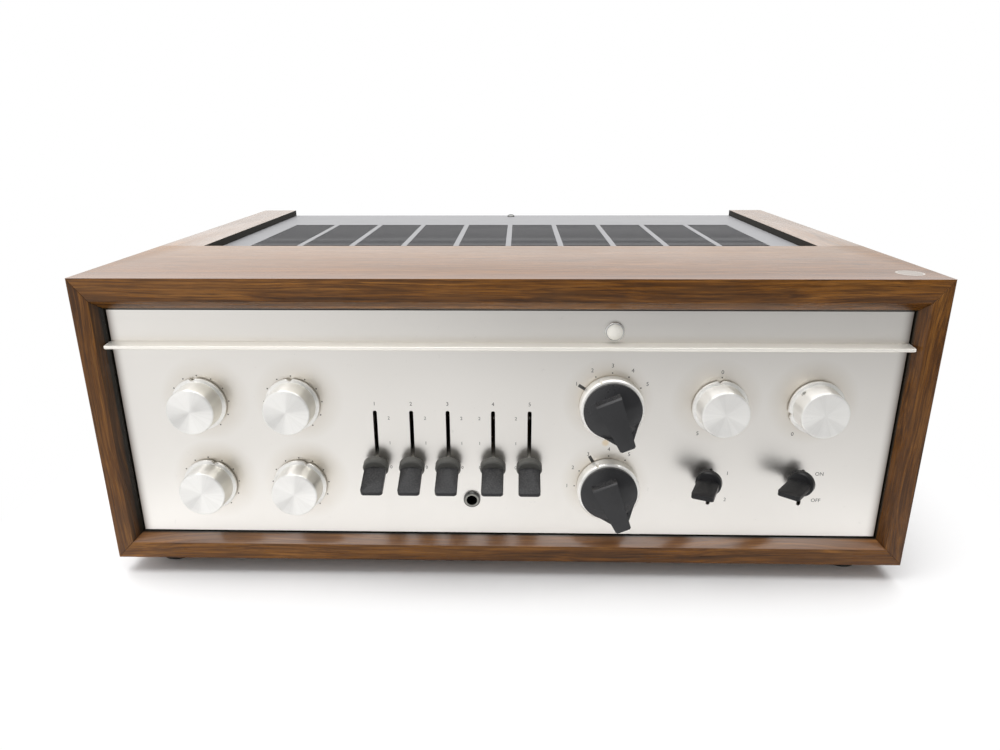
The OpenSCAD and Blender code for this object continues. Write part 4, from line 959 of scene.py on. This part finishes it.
screws = cad_copy("case_screws", "case_screws_cut")
tops = []
for low, high in solids_of("case_screws"):
    centre = (low + high) / 2
    centre.z = high.z if centre.z > panel_low.z else low.z
    tops.append(centre)
recess_long, recess_wide, recess_deep = 4.0, 0.9, 2.0
carved(screws, slits("recess_tool", tops, (recess_long, recess_wide, recess_deep)))
carved(screws, slits("recess_tool", tops, (recess_wide, recess_long, recess_deep)))
eased(screws, 0.12, 2)
smooth(screws)
finish_piece(screws, "cabinet", dark_nut, ["case_screws"])


def screw_head(name, radius):
    """A slotted head that looks to the rear, radius in mm."""
    steps = ((1.0, 0.0), (1.0, 0.45), (0.9, 0.58), (0.6, 0.68))
    head = lathe(name, [(share * radius, out * radius) for share, out in steps] + [(0.1, 0.72 * radius)], 40)
    long, half, deep = 2 * radius * MM, 0.16 * radius * MM, 0.7 * radius * MM
    slot = block("slot_tool", (-long, -2 * deep, -half), (long, -0.6 * deep, half))
    return smooth(face_rear(carved(head, slot)))


def planted(master, name, places, turns=()):
    """Copies of a piece at several places, each with its own turn, as one piece; the first is put away."""
    turns = turns or [0] * len(places)
    made = [put(another(master, name), place, turn) for place, turn in zip(places, turns)]
    piece = joined(made, name)
    bpy.data.objects.remove(master)
    return piece


# Rear connectors: terminal screws, jack insulators, fuse slot and panel screws

rear_low, rear_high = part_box("rear_panel")
rear_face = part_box("mains_outlets")[0].y
terminal_places = []
for low, high in solids_of("speaker_terminals"):
    for i in range(4):
        along = low.x + (high.x - low.x) * (i + 0.5) / 4
        terminal_places.append(Vector((along, high.y - sunk, (low.z + high.z) / 2)))
terminal_turns = [12, -35, 50, 4, -18, 71, 25, -60]
terminal_screw = screw_head("terminal_screw", 3.2)
terminal_screws = planted(terminal_screw, "terminal_screws", terminal_places, terminal_turns)
finish_piece(terminal_screws, "cabinet", bright_chrome)

phono_places = []
for low, high in solids_of("phono_jacks"):
    phono_places.append(Vector(((low.x + high.x) / 2, high.y - sunk, (low.z + high.z) / 2)))
insulator = smooth(face_rear(ring("insulator", 3.2, 1.6, 0.35)))
insulators = planted(insulator, "phono_insulators", phono_places)
finish_piece(insulators, "cabinet", brown_board)

fuse = cad_copy("fuse_holder", "fuse_holder_cut")
fuse_end = middle("fuse_holder")
fuse_end.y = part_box("fuse_holder")[1].y
fuse_slot = (9.0, 3.2, 1.3)
carved(fuse, slits("slot_tool", [fuse_end], fuse_slot))
eased(fuse, 0.4, 2)
smooth(fuse)
finish_piece(fuse, "cabinet", black_moulding, ["fuse_holder"])

screw_inset = 7 * MM
screw_drop = 22 * MM  # the upper screws stay below the ledge of the top board
corner_places = [
    Vector((x, rear_face - sunk, z))
    for x in (rear_low.x + screw_inset, rear_high.x - screw_inset)
    for z in (rear_low.z + screw_inset, rear_high.z - screw_drop)
]
corner_screw = screw_head("corner_screw", 2.6)
corner_screws = planted(corner_screw, "rear_panel_screws", corner_places, [33, -20, 65, 8])
finish_piece(corner_screws, "cabinet", bright_chrome)


# Headphone jack: a dull ring round its mouth

jack_mouth = middle("headphone_jack")
jack_mouth.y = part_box("headphone_jack")[0].y + sunk
jack_ring = put(smooth(ring("jack_ring", 4.2, 3.25, 0.3)), jack_mouth)
finish_piece(jack_ring, "cabinet", dull_nickel)


# Tubes: bulbs with their inside, on moulded bases

def bulb(stations, wall):
    """A hollow glass bulb, standing: its outer skin, and an inner skin that faces the hollow."""
    outer = lathe("bulb", stations, 48)
    inner = another(outer, "bulb_hollow")
    hold(inner)
    radius = max(r for r, out in stations)
    foot, top = stations[0][1], stations[-1][1]
    thin = 1 - wall / radius
    flat = 1 - 2 * wall / (top - foot)
    open_mesh()
    bpy.ops.transform.resize(value=(thin, flat, thin), center_override=(0, -(foot + top) / 2 * MM, 0))
    bpy.ops.mesh.flip_normals()
    close_mesh()
    return stand(smooth(joined([outer, inner], "bulb"), 40))


def upright(stations):
    """A turned piece that stands."""
    return stand(smooth(lathe("turned", stations, 40), 40))


def mica(radius, low, thick):
    """A round spacer that holds the anode in the bulb."""
    return upright([(radius, low), (radius, low + thick)])


def plate_box(wide, deep, low, high, fin):
    """The boxed anode of a tube with a fin on each side, standing, sizes in mm."""
    half_wide, half_deep, half_fin = wide / 2 * MM, deep / 2 * MM, 0.4 * MM
    box = block("anode", (-half_wide, -half_deep, low * MM), (half_wide, half_deep, high * MM))
    eased(box, deep * 0.3, 4)
    fins = block("fins", (-fin * MM, -half_fin, (low + 1) * MM), (fin * MM, half_fin, (high - 1) * MM))
    return smooth(joined([box, fins], "anode"))


output_bulb = bulb([
    (13.0, 14.0), (14.0, 17.0), (14.5, 19.0), (16.5, 23.4), (18.5, 27.6), (19.0, 30.0), (19.0, 74.0),
    (18.5, 77.6), (17.0, 81.0), (14.3, 84.2), (10.4, 86.4), (5.4, 87.6), (0.5, 88.0),
], 1.0)
output_base = upright([
    (15.6, 0.0), (16.5, 0.6), (16.5, 13.6), (16.1, 14.6), (15.2, 15.0), (14.9, 17.4), (14.4, 18.2),
    (14.0, 18.3),
])
output_anode = joined([
    plate_box(20, 13, 33, 69, 14.5), mica(15.5, 31.0, 0.5), mica(15.5, 70.0, 0.5),
], "anode")
output_getter = upright([
    (17.6, 76.5), (16.4, 80.0), (13.8, 82.9), (10.0, 85.0), (5.2, 86.2), (0.5, 86.6),
])
small_bulb = bulb([
    (9.0, 0.4), (10.2, 1.2), (10.5, 2.6), (10.5, 44.0), (10.0, 46.6), (8.6, 48.8), (6.2, 50.3), (3.2, 51.0),
    (1.9, 51.6), (1.2, 52.7), (0.4, 54.0),
], 0.8)
small_anode = joined([
    plate_box(9, 7, 11, 36, 6.5), mica(8.8, 9.5, 0.4), mica(8.8, 37.0, 0.4),
], "anode")
small_getter = upright([(9.2, 44.5), (8.6, 46.8), (7.3, 48.4), (5.0, 49.4), (0.4, 49.9)])


def feet_of(node):
    """Where each separate solid of a node stands."""
    return [Vector(((low.x + high.x) / 2, (low.y + high.y) / 2, low.z)) for low, high in solids_of(node)]


output_feet, small_feet = feet_of("output_tubes"), feet_of("small_tubes")
for name, master, feet, finish, slot, stands_for in (
    ("output_tube_bulbs", output_bulb, output_feet, tube_glass, "tube_glass", ["output_tubes"]),
    ("output_tube_bases", output_base, output_feet, brown_board, "phenolic", []),
    ("output_tube_anodes", output_anode, output_feet, tube_plate, "plated_steel", []),
    ("output_tube_getters", output_getter, output_feet, getter_mirror, "chrome", []),
    ("small_tube_bulbs", small_bulb, small_feet, tube_glass, "tube_glass", ["small_tubes"]),
    ("small_tube_anodes", small_anode, small_feet, tube_plate, "plated_steel", []),
    ("small_tube_getters", small_getter, small_feet, getter_mirror, "chrome", []),
):
    finish_piece(planted(master, name, feet), "cabinet", finish, stands_for)


# Print: dots round the dials and plain numbers on the front, numbers over the connectors on the rear

ink = 0.05  # thickness in mm
letter, small_letter, rear_letter = 2.3, 2.0, 3.0  # heights of figures in mm
cap_share = 0.7  # height of a figure in the size of its type


def printed(words, x, z, tall=letter, face=panel_face, behind=False):
    """A number or word on a face, centred, x and z in metres and tall in mm."""
    fresh()
    bpy.ops.object.text_add(rotation=(math.pi / 2, 0, math.pi if behind else 0))
    line = bpy.context.active_object.data
    line.body = words
    line.size = tall * MM / cap_share
    line.extrude = ink / 2 * MM
    line.align_x = line.align_y = "CENTER"
    line.resolution_u = 3
    bpy.ops.object.convert(target="MESH")
    piece = named("print")
    piece.location = (x, face + (0.2 if behind else -0.2) * ink * MM, z)
    settle()
    return piece


def round_dial(control, radius, angle):
    """A spot on the panel round a control, by radius in mm and angle from the top."""
    centre = axis_of(control)
    turn = math.radians(angle)
    return centre.x + radius * MM * math.sin(turn), centre.z + radius * MM * math.cos(turn)


def dot(x, z):
    """A round spot of ink on the panel."""
    return put(lathe("print", [(0.42, -0.02), (0.42, 0.8 * ink)], 16), (x, panel_face, z))


def inked(marks, name, material):
    """All marks of one colour as one clean piece."""
    piece = joined(marks, name)
    open_mesh()
    bpy.ops.mesh.remove_doubles(threshold=2e-6)
    bpy.ops.mesh.normals_make_consistent(inside=False)
    close_mesh()
    return finish_piece(piece, "cabinet", material)


marks = []
for control in tone_dials:
    marks += [dot(*round_dial(control, 17.1, 28.5 * step)) for step in range(-5, 6)]
marks.append(dot(*round_dial("balance", 17.4, 0)))
for control, angle, number in (
    ("balance", 0, "0"), ("balance", -147, "5"), ("balance", 147, "5"),
    ("volume", -147, "0"), ("volume", 147, "10"),
):
    marks.append(printed(number, *round_dial(control, 20.6, angle)))
for control, angles in zip(selectors, ((-57, -28.5, 0, 28.5, 57), (-90, -60, -30, 0, 30))):
    for number, angle in enumerate(angles, 1):
        marks.append(dot(*round_dial(control, 19.8, angle)))
        marks.append(printed(str(number), *round_dial(control, 24.2, angle)))
tick_half, tick_from, tick_to = 0.95 * MM, 18.3 * MM, 22.8 * MM
for control, angle in zip(selectors, (-57, -30)):
    tick = block("print", (-tick_half, -0.8 * ink * MM, tick_from), (tick_half, 0.02 * MM, tick_to))
    marks.append(put(tick, axis_of(control), angle))
upper_z, lower_z = axis_of("input_selector").z, axis_of("mode_selector").z
for number, lever in enumerate(levers, 1):
    slot_x = middle(lever + "_arm").x
    side = 8 * MM if number < 4 else -8 * MM
    marks.append(printed(str(number), slot_x, upper_z + 0.2 * MM))
    for step, down in (("2", 8.8), ("1", 24.7), ("0", 40.5)):
        marks.append(printed(step, slot_x + side, upper_z - down * MM, small_letter))
pivots = {joint["child"]: joint["pos_m"] for joint in frame["record"]["behaviour"]["joints"]}
for toggle, words in (("speaker_toggle", ("1", "2")), ("power_toggle", ("ON", "OFF"))):
    beside_x = pivots[body_of(toggle)][0] + 10 * MM
    marks.append(printed(words[0], beside_x, lower_z + 9 * MM))
    marks.append(printed(words[1], beside_x, lower_z - 8.5 * MM))
inked(marks, "panel_print", print_ink)

marks = []
columns = sorted({round(place.x, 4) for place in phono_places}, reverse=True)
number_z = max(place.z for place in phono_places) + 9 * MM
for number, x in enumerate(columns, 1):
    marks.append(printed(str(number), x, number_z, rear_letter, rear_face, True))
for place, load in zip(terminal_places, ("16", "8", "4", "0") * 2):
    marks.append(printed(load, place.x, place.z + 14 * MM, rear_letter, rear_face, True))
inked(marks, "rear_print", pale_ink)


# A plain paper disc on the front right of the top

disc_place = Vector((224.8 * MM, wood_front + 17.6 * MM, wood_high.z - 0.02 * MM))
disc = put(stand(smooth(lathe("paper_disc", [(6.4, 0.0), (6.4, 0.06), (6.3, 0.1)], 64))), disc_place)
finish_piece(disc, "cabinet", paper_disc)
rim = put(stand(smooth(ring("paper_rim", 7.5, 6.45, 0.14))), disc_place)
finish_piece(rim, "cabinet", paper_rim)


# Stage: floor, light and camera

def seen_rays(tree):
    """The kinds of ray, and a mask of those that show the backdrop: direct, mirrored and through glass."""
    rays = add(tree, "LightPath").outputs
    seen = math_of(tree, "MAXIMUM", rays["Is Camera Ray"], rays["Is Glossy Ray"])
    return rays, math_of(tree, "MAXIMUM", seen, rays["Is Transmission Ray"])


fresh()
bpy.ops.mesh.primitive_plane_add(size=1, location=(0, 1.64, 0))
floor = named("floor")
floor.scale = (9, 4.52, 1)
settle()
paper, tree, shader, place = finish_of("floor_paper", roughness=0.9, specular_ior_level=0.1)
grain_of_paper = noise(tree, stretched(tree, place, (2, 2, 2)), 2.0)
plug(tree, shader, base_color=mixed(tree, grain_of_paper, (0.88, 0.88, 0.89), (0.9, 0.9, 0.9)))
spot = parts_of(tree, place)
beside, before = [
    math_of(tree, "MAXIMUM", math_of(tree, "SUBTRACT", math_of(tree, "ABSOLUTE", spot[i]), wood_high[i]), 0.0)
    for i in (0, 1)
]
beyond = add(tree, "CombineXYZ", {"X": beside, "Y": before}).outputs[0]
away = measure_of(tree, "LENGTH", beyond)
rays, seen = seen_rays(tree)
rightward = ranged(tree, spot[0], -0.05, 0.15, 0.92, 0.78)
strength = math_of(tree, "MAXIMUM", rightward, rays["Is Camera Ray"])
white = add(tree, "Emission", {"Color": (1, 1, 1, 1), "Strength": strength})
fade = add(tree, "MixShader", {0: times(tree, seen, ranged(tree, away, 0.0, 0.12))})
tree.links.new(shader.outputs[0], fade.inputs[1])
tree.links.new(white.outputs[0], fade.inputs[2])
tree.links.new(fade.outputs[0], tree.nodes["Material Output"].inputs[0])
floor.data.materials.append(paper)

world = bpy.data.worlds.new("studio")
scene.world = world
world.use_nodes = True
tree = world.node_tree
tree.nodes.clear()
rays, seen = seen_rays(tree)
mirrored = math_of(tree, "SUBTRACT", rays["Is Glossy Ray"], rays["Is Camera Ray"], clamp=True)
way = parts_of(tree, add(tree, "TexCoord").outputs["Generated"])
to_front = ranged(tree, times(tree, way[1], -1.0), 0.05, 0.55)
to_right = ranged(tree, way[0], -0.5, 0.05, 0.0, 0.66)
dark = times(tree, times(tree, to_front, to_right), mirrored)
shown = math_of(tree, "SUBTRACT", 1.0, dark)
strength = add(tree, "Mix", data_type="FLOAT")
tree.links.new(seen, strength.inputs[0])
tree.links.new(ranged(tree, way[0], -0.5, 0.5, 1.35, 0.15), strength.inputs[2])
tree.links.new(shown, strength.inputs[3])
sky = add(tree, "Background", {"Color": (1, 1, 1, 1), "Strength": strength.outputs[0]})
tree.links.new(sky.outputs[0], add(tree, "OutputWorld").inputs[0])


def softbox(name, place, aim, size, power):
    """A rectangular soft lamp that looks at a point."""
    lamp = bpy.data.lights.new(name, "AREA")
    lamp.shape = "RECTANGLE"
    lamp.size, lamp.size_y = size
    lamp.energy = power
    holder = bpy.data.objects.new(name, lamp)
    holder.location = place
    holder.rotation_euler = (Vector(aim) - Vector(place)).to_track_quat("-Z", "Y").to_euler()
    scene.collection.objects.link(holder)


softbox("overhead", (0, 0.0, 1.7), (0, 0.0, 0), (2.4, 2.0), 40)

camera = bpy.data.cameras.new("camera")
camera.sensor_fit = "HORIZONTAL"
camera.sensor_width = 36
camera.lens = 26.37
camera.clip_start = 0.01
camera_place = (0.007712, wood_front - 0.390630, 0.266594)
camera_turn, camera_dip, camera_roll = 1.502, 18.842, -0.214  # degrees
stand_point = bpy.data.objects.new("camera", camera)
stand_point.matrix_world = (
    Matrix.Translation(camera_place)
    @ Matrix.Rotation(math.radians(camera_turn), 4, "Z")
    @ Matrix.Rotation(math.radians(90 - camera_dip), 4, "X")
    @ Matrix.Rotation(math.radians(camera_roll), 4, "Z")
)
scene.collection.objects.link(stand_point)
scene.camera = stand_point

scene.view_settings.view_transform = "Standard"
